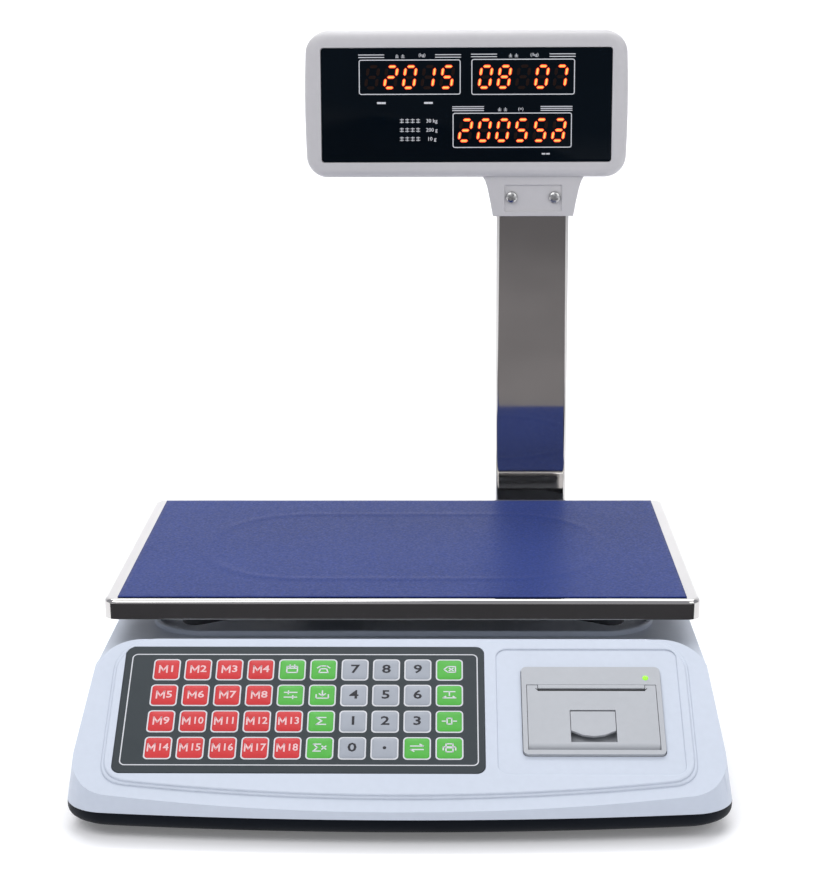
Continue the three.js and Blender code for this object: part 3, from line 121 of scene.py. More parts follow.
def colour(name, description, default):
    return FloatVectorProperty(name=name, description=description, default=default, subtype="COLOR",
                               size=3, min=0, max=1)


class CasingSettings(bpy.types.PropertyGroup):
    """Sizes and colours of the casing and its base"""
    corner: size("Corner radius", "Radius of the casing's corners seen from above", 25 * MM)
    bow: size("Front bow", "How far the front wall bulges", 9 * MM)
    wall: size("Wall", "Thickness of the moulded walls", 2.5 * MM)
    step: size("Panel step", "Height of the raised panel above its margin", 2 * MM)
    pan: size("Pan depth", "Depth of the recess round the printer", 0.8 * MM)
    edge: size("Edge radius", "Radius along the casing's moulded edges", 2.6 * MM)
    white: colour("Cover colour", "Colour of the moulded cover", (0.515, 0.562, 0.645))
    navy: colour("Base colour", "Colour of the moulded base", (0.004, 0.006, 0.010))


class SteelSettings(bpy.types.PropertyGroup):
    """Sizes and colours of the platter, its film and the pole"""
    sheet: size("Sheet", "Thickness of the platter's sheet", 1 * MM)
    edge: size("Edge radius", "Radius of the platter's folded edge", 2.5 * MM)
    corner: size("Corner radius", "Radius of the platter's corners", 8 * MM)
    tube_edge: size("Tube radius", "Radius of the pole's long edges", 2.5 * MM)
    steel: colour("Steel colour", "Colour of the polished steel", (0.60, 0.585, 0.57))
    film: colour("Film colour", "Colour of the platter's film", (0.019, 0.036, 0.158))


class KeypadSettings(bpy.types.PropertyGroup):
    """Sizes and colours of the membrane keypad"""
    key: size("Key", "Width and height of a key", 15.5 * MM)
    pitch_x: size("Column pitch", "Distance between columns of keys", 17.9 * MM)
    pitch_y: size("Row pitch", "Distance between rows of keys", 18.4 * MM)
    left: size("Left margin", "From the overlay's left edge to the first column's centre",
               24.25 * MM)
    top: size("Top margin", "From the overlay's top edge to the first row's centre", 16.85 * MM)
    dome: size("Dome", "Height of a key's embossed dome", 0.45 * MM)
    sheet: colour("Sheet colour", "Colour printed between the keys", (0.028, 0.037, 0.043))
    red: colour("Red keys", "Colour of the memory keys", (0.55, 0.036, 0.040))
    green: colour("Green keys", "Colour of the function keys", (0.085, 0.40, 0.060))
    grey: colour("Grey keys", "Colour of the number keys", (0.33, 0.355, 0.40))
    light: colour("Light lines", "Colour of the printed borders and labels", (0.60, 0.61, 0.64))
    pale: colour("Pale labels", "Colour of the printed labels on the red keys", (0.74, 0.48, 0.49))
    dark: colour("Dark labels", "Colour of the printed numbers", (0.02, 0.02, 0.026))


class PrinterSettings(bpy.types.PropertyGroup):
    """Sizes and colours of the label printer"""
    edge: size("Edge radius", "Radius along the printer's moulded edges", 0.5 * MM)
    grey: colour("Printer colour", "Colour of the moulded printer", (0.40, 0.415, 0.44))
    paper: colour("Paper colour", "Colour of the label paper", (0.82, 0.81, 0.77))


class HeadSettings(bpy.types.PropertyGroup):
    """Sizes and colours of the display head"""
    corner: size("Corner radius", "Radius of the head's corners", 14 * MM)
    rim: size("Rim radius", "Radius of the head's rounded rim", 6 * MM)
    barrel: size("Barrel", "How far the head's sides bulge", 1.5 * MM)
    wall: size("Wall", "Thickness of the moulded walls", 2.4 * MM)
    digit: size("Digit height", "Height of a lit digit", 14.2 * MM)
    pitch: size("Digit pitch", "Distance between digits", 12.7 * MM)
    housing: colour("Housing colour", "Colour of the moulded housings", (0.50, 0.49, 0.50))
    window: colour("Window colour", "Colour of the smoked window", (0.0010, 0.0028, 0.0052))
    core: colour("Lit colour", "Colour of a lit segment's middle", (1.0, 0.36, 0.07))
    rim_red: colour("Lit edge", "Colour of a lit segment's edge", (0.72, 0.035, 0.008))
    weight: StringProperty(name="Weight row", description="Figures in the weight row",
                           default=" 2015")
    price: StringProperty(name="Price row", description="Figures in the price row", default="08 07")
    total: StringProperty(name="Total row", description="Figures in the total row",
                          default="20055a")


# ---- Materials ----
# A texture's values lie mostly between these two.
TEXTURE_SPAN = (0.3, 0.7)


class Finish:
    """A node material: one shader, with textures in the piece's own metres."""

    def __init__(self, name, base, roughness, metallic=0.0, **sockets):
        self.material = bpy.data.materials.new(name)
        self.material.use_nodes = True
        self.tree = self.material.node_tree
        self.shader = self.tree.nodes["Principled BSDF"]
        self.place = self.add("ShaderNodeTexCoord").outputs["Object"]
        self.base = tuple(base)
        self.shader.inputs["Base Color"].default_value = (*base, 1)
        self.shader.inputs["Roughness"].default_value = roughness
        self.shader.inputs["Metallic"].default_value = metallic
        for socket, value in sockets.items():
            self.shader.inputs[socket.replace("_", " ")].default_value = value
        self.normal = None

    def add(self, kind, **values):
        node = self.tree.nodes.new(kind)
        for key, value in values.items():
            if key in node.inputs:
                node.inputs[key].default_value = value
            else:
                setattr(node, key, value)
        return node

    def link(self, source, target):
        self.tree.links.new(source, target)

    def stretched(self, scale):
        mapping = self.add("ShaderNodeMapping")
        mapping.inputs["Scale"].default_value = scale
        self.link(self.place, mapping.inputs["Vector"])
        return mapping.outputs["Vector"]

    def noise(self, scale, detail=3, stretch=(1, 1, 1)):
        node = self.add("ShaderNodeTexNoise", Scale=scale, Detail=detail)
        self.link(self.stretched(stretch), node.inputs["Vector"])
        return node.outputs["Fac"]

    def cells(self, scale):
        node = self.add("ShaderNodeTexVoronoi", Scale=scale)
        self.link(self.place, node.inputs["Vector"])
        return node.outputs["Distance"]

    def ranged(self, source, low, high):
        """Spreads a texture's values over low to high."""
        node = self.add("ShaderNodeMapRange")
        sockets = ("From Min", "From Max", "To Min", "To Max")
        for socket, value in zip(sockets, (*TEXTURE_SPAN, low, high)):
            node.inputs[socket].default_value = value
        self.link(source, node.inputs["Value"])
        return node.outputs["Result"]

    def tint(self, source, other, low=0.0, high=1.0):
        """Mixes another colour into the base where source is high."""
        mix = self.add("ShaderNodeMix", data_type="RGBA")
        sockets = [s for s in mix.inputs if s.type == "RGBA"]
        if self.shader.inputs["Base Color"].is_linked:
            self.link(self.shader.inputs["Base Color"].links[0].from_socket, sockets[0])
        else:
            sockets[0].default_value = (*self.base, 1)
        sockets[1].default_value = (*other, 1)
        self.link(self.ranged(source, low, high), mix.inputs["Factor"])
        result = [s for s in mix.outputs if s.type == "RGBA"][0]
        self.link(result, self.shader.inputs["Base Color"])

    def rough(self, source, low, high):
        self.link(self.ranged(source, low, high), self.shader.inputs["Roughness"])

    def bump(self, source, height, strength=1.0):
        node = self.add("ShaderNodeBump", Strength=strength, Distance=height)
        self.link(source, node.inputs["Height"])
        if self.normal is not None:
            self.link(self.normal, node.inputs["Normal"])
        self.normal = node.outputs["Normal"]
        self.link(self.normal, self.shader.inputs["Normal"])


def shade(rgb, factor):
    """A colour made lighter or darker, held within 1."""
    return tuple(min(1.0, channel * factor) for channel in rgb)


def moulded(name, rgb, roughness=0.42, grain=2600, gloss=0.4):
    """Fine spark-textured plastic, a little uneven in colour and gloss."""
    f = Finish(name, rgb, roughness, Specular_IOR_Level=gloss)
    f.tint(f.noise(9, 4), shade(rgb, 0.93), 0.0, 0.5)
    f.tint(f.noise(240, 3), shade(rgb, 1.06), 0.0, 0.35)
    f.rough(f.noise(35, 5), roughness - 0.05, roughness + 0.08)
    f.bump(f.noise(grain, 2), 0.02 * MM, 0.35)
    f.bump(f.noise(14, 2), 0.10 * MM, 0.25)
    return f.material


def printed(name, rgb, roughness=0.40):
    """Ink behind a fine-textured polyester sheet."""
    f = Finish(name, rgb, roughness, Specular_IOR_Level=0.2)
    f.tint(f.noise(60, 4), shade(rgb, 0.86), 0.0, 0.5)
    f.rough(f.noise(150, 3), roughness - 0.05, roughness + 0.07)
    f.bump(f.noise(3800, 1), 0.010 * MM, 0.35)
    return f.material


def polished(name, rgb):
    """Polished sheet steel with faint rolling lines and smudges."""
    f = Finish(name, rgb, 0.10, 1.0)
    f.tint(f.noise(22, 5), shade(rgb, 0.88), 0.0, 0.6)
    f.rough(f.noise(30, 6, (1, 1, 0.4)), 0.025, 0.075)
    f.bump(f.noise(500, 3, (1, 1, 0.03)), 0.004 * MM, 0.25)
    f.bump(f.noise(7, 2), 0.12 * MM, 0.22)
    return f.material


def plated(name, rgb, roughness=0.34):
    """Zinc-plated steel with a faint spangle."""
    f = Finish(name, rgb, roughness, 1.0)
    f.tint(f.cells(420), shade(rgb, 0.75), 0.0, 0.6)
    f.rough(f.noise(120, 5), roughness - 0.08, roughness + 0.12)
    f.bump(f.noise(1800, 3), 0.01 * MM, 0.3)
    return f.material


def milled(name, rgb):
    """Bare metal with the fine lines of a cutter."""
    f = Finish(name, rgb, 0.36, 1.0)
    f.tint(f.noise(50, 4), shade(rgb, 0.85), 0.0, 0.6)
    f.rough(f.noise(900, 4, (0.03, 1, 1)), 0.28, 0.48)
    f.bump(f.noise(2200, 3, (0.02, 1, 1)), 0.012 * MM, 0.5)
    return f.material


def powder_coat(name, rgb):
    """Matt paint with an orange-peel surface."""
    f = Finish(name, rgb, 0.5)
    f.tint(f.noise(40, 4), shade(rgb, 1.6), 0.0, 0.5)
    f.rough(f.noise(90, 4), 0.42, 0.6)
    f.bump(f.noise(900, 2), 0.08 * MM, 0.5)
    return f.material


def rubber(name, rgb):
    """Dull black rubber, a little dusty."""
    f = Finish(name, rgb, 0.75, Specular_IOR_Level=0.3)
    f.tint(f.noise(70, 5), shade(rgb, 2.2), 0.0, 0.5)
    f.rough(f.noise(60, 4), 0.66, 0.86)
    f.bump(f.noise(1500, 3), 0.03 * MM, 0.5)
    return f.material


def film(name, rgb):
    """Matt blue protective film with a mottled grain."""
    f = Finish(name, rgb, 0.42, Specular_IOR_Level=0.045)
    f.tint(f.cells(950), shade(rgb, 1.9), 0.0, 0.5)
    f.tint(f.noise(520, 4), shade(rgb, 0.45), 0.0, 0.6)
    f.tint(f.noise(9, 4), shade(rgb, 1.25), 0.0, 0.45)
    f.rough(f.noise(700, 4), 0.34, 0.52)
    f.bump(f.noise(950, 2), 0.05 * MM, 0.4)
    f.bump(f.noise(24, 3), 0.08 * MM, 0.2)
    return f.material


def smoked(name, rgb):
    """Dark glossy window plastic."""
    f = Finish(name, rgb, 0.09, Specular_IOR_Level=0.07)
    f.tint(f.noise(14, 4), shade(rgb, 1.6), 0.0, 0.5)
    f.rough(f.noise(40, 5), 0.05, 0.13)
    f.bump(f.noise(10, 2), 0.06 * MM, 0.15)
    return f.material


def circuit(name, rgb):
    """Solder mask over traces, with tinned pads."""
    f = Finish(name, rgb, 0.34, Specular_IOR_Level=0.5)
    f.tint(f.noise(380, 1, (1, 0.12, 1)), shade(rgb, 1.9), 0.0, 0.8)
    f.tint(f.cells(260), (0.5, 0.48, 0.40), 0.0, 0.35)
    f.rough(f.noise(200, 3), 0.26, 0.46)
    f.bump(f.noise(380, 1, (1, 0.12, 1)), 0.03 * MM, 0.5)
    return f.material


def paper(name, rgb):
    """Matt paper or card with a fine fibre."""
    f = Finish(name, rgb, 0.85, Specular_IOR_Level=0.2)
    f.tint(f.noise(500, 4), shade(rgb, 0.9), 0.0, 0.5)
    f.rough(f.noise(90, 3), 0.78, 0.92)
    f.bump(f.noise(900, 3, (0.15, 1, 1)), 0.02 * MM, 0.4)
    return f.material


def tinted_lens(name, rgb, strength):
    """A tinted lens that glows a little; on the level's vial and bubble the glow is painted light."""
    f = Finish(name, rgb, 0.15, Emission_Strength=strength)
    f.shader.inputs["Emission Color"].default_value = (*rgb, 1)
    f.tint(f.noise(700, 3), shade(rgb, 0.7), 0.0, 0.6)
    f.bump(f.noise(900, 2), 0.02 * MM, 0.3)
    return f.material


def lit_segment(name, edge, core, strength):
    """A lit segment: bright along its middle, deep red at its edge."""
    f = Finish(name, edge, 0.4, Emission_Strength=strength)
    heat = f.add("ShaderNodeAttribute", attribute_name="core").outputs["Fac"]
    f.tint(heat, core, 0.0, 1.0)
    f.link(f.shader.inputs["Base Color"].links[0].from_socket, f.shader.inputs["Emission Color"])
    f.bump(f.noise(900, 2), 0.01 * MM, 0.2)
    return f.material


# ---- Mesh helpers ----
def rounded(width, height, radius, x=0.0, y=0.0, steps=8, barrel=0.0):
    """Outline of a rectangle with round corners; barrel makes its short sides bulge."""
    points = []
    dx, dy = width / 2 - radius, height / 2 - radius
    for quarter, (sx, sy) in enumerate(((1, -1), (1, 1), (-1, 1), (-1, -1))):
        for i in range(steps + 1):
            a = (quarter - 1) * math.pi / 2 + i / steps * math.pi / 2
            px = sx * dx + radius * math.cos(a)
            py = sy * dy + radius * math.sin(a)
            points.append((px, py))
        if barrel and quarter in (0, 2):
            edge = sx * width / 2
            points += [(edge, (t - 0.5) * 2 * dy * sx) for t in (0.2, 0.4, 0.6, 0.8)]
    half = height / 2
    return [(x + px - math.copysign(barrel * (py / half) ** 2, px) * (abs(px) / (width / 2)),
             y + py)
            for px, py in points]


def quarter(steps, first=0):
    """(1 - cosine, sine) at even steps round a quarter turn."""
    turns = (i / steps * math.pi / 2 for i in range(first, steps + 1))
    return [(1 - math.cos(a), math.sin(a)) for a in turns]


def turned(profile, sides):
    """Rings made by turning (radius, height) points about the z axis."""
    turns = [i * math.tau / sides for i in range(sides)]
    return [[Vector((r * math.cos(t), r * math.sin(t), z)) for t in turns] for r, z in profile]


def skin(bm, rings, closed=False):
    """Faces between rings of equal count, capped at both ends unless closed."""
    made = [[bm.verts.new(p) for p in ring] for ring in rings]
    count = len(made[0])
    pairs = list(zip(made, made[1:])) + ([(made[-1], made[0])] if closed else [])
    for a, b in pairs:
        for i in range(count):
            j = (i + 1) % count
            bm.faces.new((a[i], a[j], b[j], b[i]))
    if not closed:
        bm.faces.new(list(reversed(made[0])))
        bm.faces.new(made[-1])


def level(outline, z):
    """An (x, y) outline as a ring at height z."""
    return [Vector((x, y, z)) for x, y in outline]


def upright(outline, y):
    """An (x, z) outline as a ring at depth y."""
    return [Vector((x, y, z)) for x, z in outline]


def solid(name, rings, place=None, closed=False):
    """A closed mesh object from rings, optionally moved by a matrix."""
    bm = bmesh.new()
    skin(bm, rings, closed)
    bmesh.ops.recalc_face_normals(bm, faces=bm.faces)
    return put(name, bm, place)


def put(name, bm, place=None):
    """Turns a bmesh into an object in the scene."""
    mesh = bpy.data.meshes.new(name)
    bm.to_mesh(mesh)
    bm.free()
    if place is not None:
        mesh.transform(place)
    obj = bpy.data.objects.new(name, mesh)
    bpy.context.scene.collection.objects.link(obj)
    return obj


def prism(name, outline, low, high, place=None):
    return solid(name, [level(outline, low), level(outline, high)], place)


def along_y(name, outline, y0, y1):
    return solid(name, [upright(outline, y0), upright(outline, y1)])


def brick(name, x0, x1, y0, y1, z0, z1):
    return prism(name, [(x0, y0), (x1, y0), (x1, y1), (x0, y1)], z0, z1)


def rod(name, radius, low, high, x, y, sides=40):
    turns = (i * math.tau / sides for i in range(sides))
    ring = [(x + radius * math.cos(t), y + radius * math.sin(t)) for t in turns]
    return prism(name, ring, low, high)


def lathe(name, profile, place, sides):
    """A solid turned from (radius, height) points, flat at both ends."""
    return solid(name, turned(profile, sides), place)


def settle(obj):
    """Applies the object's modifiers to its mesh."""
    graph = bpy.context.evaluated_depsgraph_get()
    mesh = bpy.data.meshes.new_from_object(obj.evaluated_get(graph))
    obj.modifiers.clear()
    old, obj.data = obj.data, mesh
    bpy.data.meshes.remove(old)
    return obj


def combine(obj, how, *others):
    """Joins the others to the object, or cuts it with them, one by one."""
    for other in others:
        mod = obj.modifiers.new("shape", "BOOLEAN")
        mod.object, mod.operation, mod.solver = other, how, "MANIFOLD"
        bpy.context.view_layer.update()
        settle(obj).data.materials.clear()
        bpy.data.objects.remove(other)
    return obj


def smooth(obj, angle, flats=False):
    """Shades smooth up to the angle; flats keeps the large faces flat."""
    obj.data.shade_smooth()
    obj.data.set_sharp_from_angle(angle=math.radians(angle))
    if flats:
        obj.modifiers.new("flats", "WEIGHTED_NORMAL").keep_sharp = True


def ease(obj, radius, segments=3, angle=32):
    """Rounds the sharp edges and keeps the flats flat."""
    bevel = obj.modifiers.new("edges", "BEVEL")
    bevel.width, bevel.segments = radius, segments
    bevel.limit_method, bevel.angle_limit = "ANGLE", math.radians(angle)
    bevel.use_clamp_overlap = True
    bevel.miter_outer = "MITER_ARC"
    obj.data.shade_smooth()
    flat = obj.modifiers.new("flats", "WEIGHTED_NORMAL")
    flat.keep_sharp = False
    flat.weight = 80
    return obj


def dress(obj, material, body, replaced=()):
    """Gives an object its materials, its body and the CAD nodes it replaces."""
    for one in material if isinstance(material, (list, tuple)) else [material]:
        obj.data.materials.append(one)
    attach(obj, body)
    if replaced:
        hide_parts(*([replaced] if isinstance(replaced, str) else replaced))
    return obj


def refine(node, material, radius=0.4 * MM, segments=2, angle=35):
    """Finishes a CAD node: its facets are merged, its edges eased and its material set."""
    obj = frame["nodes"][node]
    obj.modifiers.new("weld", "WELD").merge_threshold = 0.01 * MM
    planar = obj.modifiers.new("facets", "DECIMATE")
    planar.decimate_type, planar.angle_limit = "DISSOLVE", math.radians(1)
    ease(obj, radius, segments, angle)
    obj.data.materials.clear()
    obj.data.materials.append(material)
    return obj


# ---- Casing ----
def casing_plan(inset, s):
    """Outline of the casing at its seam, seen from above: bowed front and round corners."""
    half = BASE_HIGH.x
    chord = half - s.corner
    bow = (chord ** 2 + s.bow ** 2) / (2 * s.bow)
    centre_y = BASE_LOW.y + bow
    reach = bow - s.corner
    corner_y = centre_y - math.sqrt(reach ** 2 - chord ** 2)
    rear_y = BASE_HIGH.y - s.corner
    turn = math.asin(chord / reach)
    down = -math.pi / 2
    arcs = [
        (0, centre_y, bow - inset, down - turn, down + turn, 48),
        (chord, corner_y, s.corner - inset, down + turn, 0, 12),
        (chord, rear_y, s.corner - inset, 0, math.pi / 2, 12),
        (-chord, rear_y, s.corner - inset, math.pi / 2, math.pi, 12),
        (-chord, corner_y, s.corner - inset, math.pi, math.pi * 1.5 - turn, 12),
    ]
    points = []
    for x, y, radius, start, end, steps in arcs:
        for i in range(steps + 1):
            a = start + (end - start) * i / steps
            p = (x + radius * math.cos(a), y + radius * math.sin(a))
            if not points or math.dist(points[-1], p) > 0.01 * MM:
                points.append(p)
    if math.dist(points[0], points[-1]) < 0.01 * MM:
        points.pop()
    return points


SIDE_LEAN = 0.156
SEAM_Z = COVER_LOW.z - 0.3 * MM
RIDGE = 7.5 * MM
HOOD_BACK = (HOOD @ Vector((0, RIDGE, 0))).y + 8 * MM
PANEL_HALF = 164 * MM
PANEL_LOW = -94 * MM
PANEL_BOW = 10.8 * MM
WELL_W, WELL_D, WELL_R = 300 * MM, 187 * MM, 30 * MM
WELL_Y = PLATTER_LOW.y + 28 * MM + WELL_D / 2
WELL_DEPTH = 9 * MM
WELL_RIM = 3 * MM


def leaned(outline, z):
    """A ring at height z, drawn in as far as the sides lean there."""
    k = 1 - SIDE_LEAN * (z - SEAM_Z) / BASE_HIGH.x
    return [Vector((x * k, y, z)) for x, y in outline]


def slope_point(up, out):
    """The (y, z) of a point given along and out of the hood."""
    p = HOOD @ Vector((0, up, out))
    return p.y, p.z


def side_view(inset, s):
    """The casing from the side, its ridge and deck drawn `inset` inside the outer ones."""
    out = -s.step - inset
    low = slope_point(-170 * MM, out)
    foot = slope_point(RIDGE - inset - 5 * MM, out)
    ridge = slope_point(RIDGE - inset, out)
    back, top, rear = HOOD_BACK - inset, DECK_Z - inset, BASE_HIGH.y - inset
    chamfer = 6 * MM
    return [low, foot, ridge, (back - 3 * MM, ridge[1] - 1.5 * MM), (back, top),
            (rear - chamfer, top),
            (rear + chamfer, top - chamfer * 2), (rear + chamfer, low[1] - 1 * MM),
            (low[0], low[1] - 1 * MM)]


def side_prism(name, outline, half):
    return solid(name, [[Vector((x, y, z)) for y, z in outline] for x in (-half, half)])


def cover_form(inset, s, foot):
    """The casing above its foot; the hood above the deck has round back corners."""
    plan = casing_plan(inset, s)
    wide, tall = 0.5, PLATTER_HIGH.z

    def whole(name):
        body = solid(name, [leaned(plan, foot), leaned(plan, tall)])
        return combine(body, "INTERSECT", side_prism("side", side_view(inset, s), wide))

    hood_half = BASE_HIGH.x - 8 * MM - inset
    hood = prism("hood", rounded(hood_half * 2, KEYPAD_H * 2, 27 * MM, 0, RIDGE - inset - KEYPAD_H,
                                 12),
                 -KEYPAD_H, KEYPAD_H, HOOD)
    top = combine(whole("hood_part"), "INTERSECT", hood)
    below = combine(whole("cover"), "INTERSECT",
                    brick("deck", -wide, wide, -wide, wide, 0, DECK_Z - inset))
    return combine(below, "UNION", top)


def crowned(name, outline, low, high, radius, steps=5):
    """A slab on the hood with a rounded top rim; outline gives its outline for an inset."""
    rings = [[HOOD @ Vector((x, y, low)) for x, y in outline(0)]]
    for draw, rise in quarter(steps):
        z = high - radius + radius * rise
        rings.append([HOOD @ Vector((x, y, z)) for x, y in outline(radius * draw)])
    return solid(name, rings)


def panel_outline(inset):
    """Outline of the raised panel on the hood: bowed at its foot, with round corners."""
    half, top, low = PANEL_HALF - inset, RIDGE - inset, PANEL_LOW + inset
    radius, turn = 23 * MM, 14 * MM

    def foot(x):
        return low - PANEL_BOW * (1 - (x / half) ** 2)

    points = []
    for i in range(33):
        x = (turn - half) + 2 * (half - turn) * i / 32
        points.append((x, foot(x)))
    corner = [(half - turn, foot(half - turn)), (half, low), (half, low + turn)]
    bend = []
    for i in range(1, 9):
        t = i / 8
        bend.append(tuple((1 - t) ** 2 * p + 2 * t * (1 - t) * q + t * t * r for p, q,
                          r in zip(*corner)))
    points += bend
    for cx, start in ((half - radius, 0), (-half + radius, math.pi / 2)):
        for i in range(13):
            a = start + i / 12 * math.pi / 2
            points.append((cx + radius * math.cos(a), top - radius + radius * math.sin(a)))
    return points + [(-x, y) for x, y in reversed(bend)]


def cover_openings(s):
    """What is cut out of the cover: bays, pockets and holes."""
    cap_c, cap_s = spread("load_cell_cap")
    bezel_y, bezel_h = -(15.1 + 61.3 / 2) * MM, 61.9 * MM
    bezel_w = 79.1 * MM
    cuts = [
        prism("collar", rounded(cap_s.x + 7.2 * MM, cap_s.y + 7.2 * MM, 8 * MM, cap_c.x, cap_c.y),
              0.03, DECK_Z),
        prism("bay", rounded(bezel_w, bezel_h, 3 * MM, PRINTER_X, bezel_y), -0.012, 0.01, HOOD),
        prism("pocket", rounded(KEYPAD_W + 0.6 * MM, KEYPAD_H + 0.6 * MM, 5 * MM, KEYPAD_X,
                                -KEYPAD_H / 2),
              -1.6 * MM, 0.01, HOOD),
    ]
    for node in ("power_inlet", "switch_housing"):
        c, sz = spread(node)
        grow = 20.6 * MM if node == "power_inlet" else 4 * MM
        cuts.append(brick("hole", c.x - sz.x / 2 + grow / 2, c.x + sz.x / 2 - grow / 2,
                          BASE_HIGH.y - 6 * MM,
                          BASE_HIGH.y + 6 * MM, c.z - sz.z / 2 + 1.2 * MM,
                          c.z + sz.z / 2 - 1.2 * MM))
    cup_c, cup_s = spread("level_cup")
    cuts.append(rod("level_hole", cup_s.x / 2 - 1.7 * MM, DECK_Z - 6 * MM, DECK_Z + 6 * MM, cup_c.x,
                    cup_c.y))
    return cuts


def printer_pan(s):
    """The shallow recess round the printer, with a rounded rim."""
    mid_x, mid_y, w, h = PRINTER_X - 1.9 * MM, -45.2 * MM, 102.7 * MM, 87.8 * MM
    rim = [(0.0, -s.pan), (0.0, -s.pan * 0.6), (s.pan * 0.3, -s.pan * 0.2), (s.pan, 0.0),
           (s.pan, 5 * MM)]
    rings = []
    for grow, z in rim:
        plan = rounded(w + grow * 2, h + grow * 2, 6 * MM + grow, mid_x, mid_y, 8)
        rings.append([HOOD @ Vector((x, y, z)) for x, y in plan])
    return solid("pan", rings)


def build_cover(s):
    """The white cover: a hollow form with its panel, rim, well, pan and openings."""
    form = cover_form(0, s, COVER_LOW.z)
    settle(ease(form, s.edge, 4, 20))
    floor = DECK_Z - WELL_DEPTH
    hollow = cover_form(s.wall, s, COVER_LOW.z - 10 * MM)
    under = prism("under", rounded(WELL_W + s.wall * 2, WELL_D + s.wall * 2, WELL_R + s.wall, 0,
                                   WELL_Y, 12),
                  floor - s.wall, DECK_Z + 0.01)
    slab = prism("slab", panel_outline(0), -s.step - s.wall, s.wall, HOOD)
    combine(hollow, "DIFFERENCE", under, slab)
    rim = crowned_rim(s)
    combine(form, "UNION", crowned("panel_low", panel_outline, -s.step * 2, -s.step / 2,
                                   s.step / 2),
            crowned("panel_high", lambda inset: panel_outline(inset + 1.6 * MM), -s.step * 2, 0,
                    s.step / 2), rim)
    combine(form, "DIFFERENCE", hollow)
    well = prism("well", rounded(WELL_W, WELL_D, WELL_R, 0, WELL_Y, 12), floor, 0.2)
    combine(form, "DIFFERENCE", well, printer_pan(s), *cover_openings(s))
    form.name = "casing_cover"
    smooth(form, 30)
    ease(form, 0.35 * MM, 2, 38)
    dress(form, moulded("casing white", s.white), "base", "top_cover")


def crowned_rim(s):
    """The low rounded rim that stands round the well."""
    rings = []
    for grow, z in ((s.wall, -1 * MM), (s.wall, WELL_RIM * 0.6), (s.wall * 0.8, WELL_RIM * 0.9),
                    (s.wall * 0.45, WELL_RIM)):
        rings.append(level(rounded(WELL_W + grow * 2, WELL_D + grow * 2, WELL_R + grow, 0, WELL_Y,
                                   12), DECK_Z + z))
    return solid("rim", rings)


def build_base(s):
    """The dark base: its wall tucks under towards the table, over a flat floor."""
    navy = moulded("base navy", s.navy, 0.5, 2200, 0.12)
    high, low = SEAM_Z, BASE_LOW.z
    tuck = 6 * MM
    middle = (BASE_LOW.y + BASE_HIGH.y) / 2
    half_y = (BASE_HIGH.y - BASE_LOW.y) / 2

    def ring(z, inset):
        sink = max(0.0, (high - z) / (high - low))
        draw = tuck * sink ** 4
        return [Vector((x * (1 - draw / BASE_HIGH.x), middle + (y - middle) * (1 - draw / half_y),
                        z))
                for x, y in casing_plan(inset, s)]

    heights = [low + (high - low) * k / 8 for k in range(9)]
    floor = low + 3 * MM
    rings = [ring(low, 3 * MM)] + [ring(z, 0) for z in heights]
    rings += [ring(high, 3 * MM)] + [ring(z, 3 * MM) for z in reversed(heights) if z > floor]
    base = solid("base_tray", rings + [ring(floor, 4 * MM)])
    hatch_c, hatch_s = spread("battery_cover")
    combine(base, "DIFFERENCE", prism("hatch", rounded(hatch_s.x + 0.6 * MM, hatch_s.y + 0.6 * MM,
                                                       4 * MM,
                                                       hatch_c.x, hatch_c.y), 0, floor + 1 * MM))
    for i in range(1, 5):
        foot_c, _ = spread(f"levelling_foot_{i}")
        combine(base, "DIFFERENCE", rod("stem", 3.3 * MM, 0, 0.1, foot_c.x, foot_c.y))
    ease(base, 0.6 * MM, 2, 40)
    dress(base, navy, "base", "base_shell")
    refine("battery_cover", navy, 0.5 * MM)


def build_feet():
    """Four feet, each a rubber tread under a threaded stem."""
    tread = rubber("foot rubber", (0.022, 0.022, 0.024))
    for i in range(1, 5):
        node = f"levelling_foot_{i}"
        c, sz = spread(node)
        r = sz.x / 2
        profile = [(0.5 * MM, 0.8 * MM), (r - 3 * MM, 0.8 * MM), (r - 2.4 * MM, 0),
                   (r - 1.6 * MM, 0),
                   (r - 0.5 * MM, 0.7 * MM), (r, 1.6 * MM), (r, 3.3 * MM), (r - 0.8 * MM, 4.2 * MM),
                   (r - 3 * MM, 5.4 * MM), (3 * MM, 5.4 * MM)]
        turns = 9
        for k in range(turns * 2 + 1):
            z = 5.4 * MM + (sz.z - 5.4 * MM) * k / (turns * 2)
            profile.append(((3.0 if k % 2 else 2.6) * MM, z))
        profile.append((0.4 * MM, sz.z))
        foot = lathe(f"foot_{i}", profile, Matrix.Translation((c.x, c.y, 0)), 48)
        smooth(foot, 40)
        dress(foot, tread, frame["nodes"][node]["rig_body"], node)


# ---- Platter and film ----
def build_platter(s):
    """The folded sheet-steel platter, open underneath."""
    c, (w, d, _) = spread("platter")

    def ring(inset, z):
        return level(rounded(w - inset * 2, d - inset * 2, s.corner - inset * 0.8, c.x, c.y, 8), z)

    top, low, r, t = PLATTER_HIGH.z, PLATTER_LOW.z, s.edge, s.sheet
    rings = [ring(t, low), ring(t * 0.5, low), ring(0, low + 0.2 * MM), ring(0, top - r)]
    rings += [ring(r * draw, top - r + r * rise) for draw, rise in quarter(8, 1)]
    under = [ring(t, low + 0.2 * MM), ring(t, top - r)]
    under += [ring(t + (r - t) * draw, top - r + (r - t) * rise) for draw, rise in quarter(5, 1)]
    bm = bmesh.new()
    skin(bm, list(reversed(under)) + rings)
    bmesh.ops.remove_doubles(bm, verts=bm.verts, dist=1e-6)
    bmesh.ops.recalc_face_normals(bm, faces=bm.faces)
    pan = put("platter_pan", bm)
    smooth(pan, 50, flats=True)
    dress(pan, polished("polished steel", s.steel), "platter", "platter")


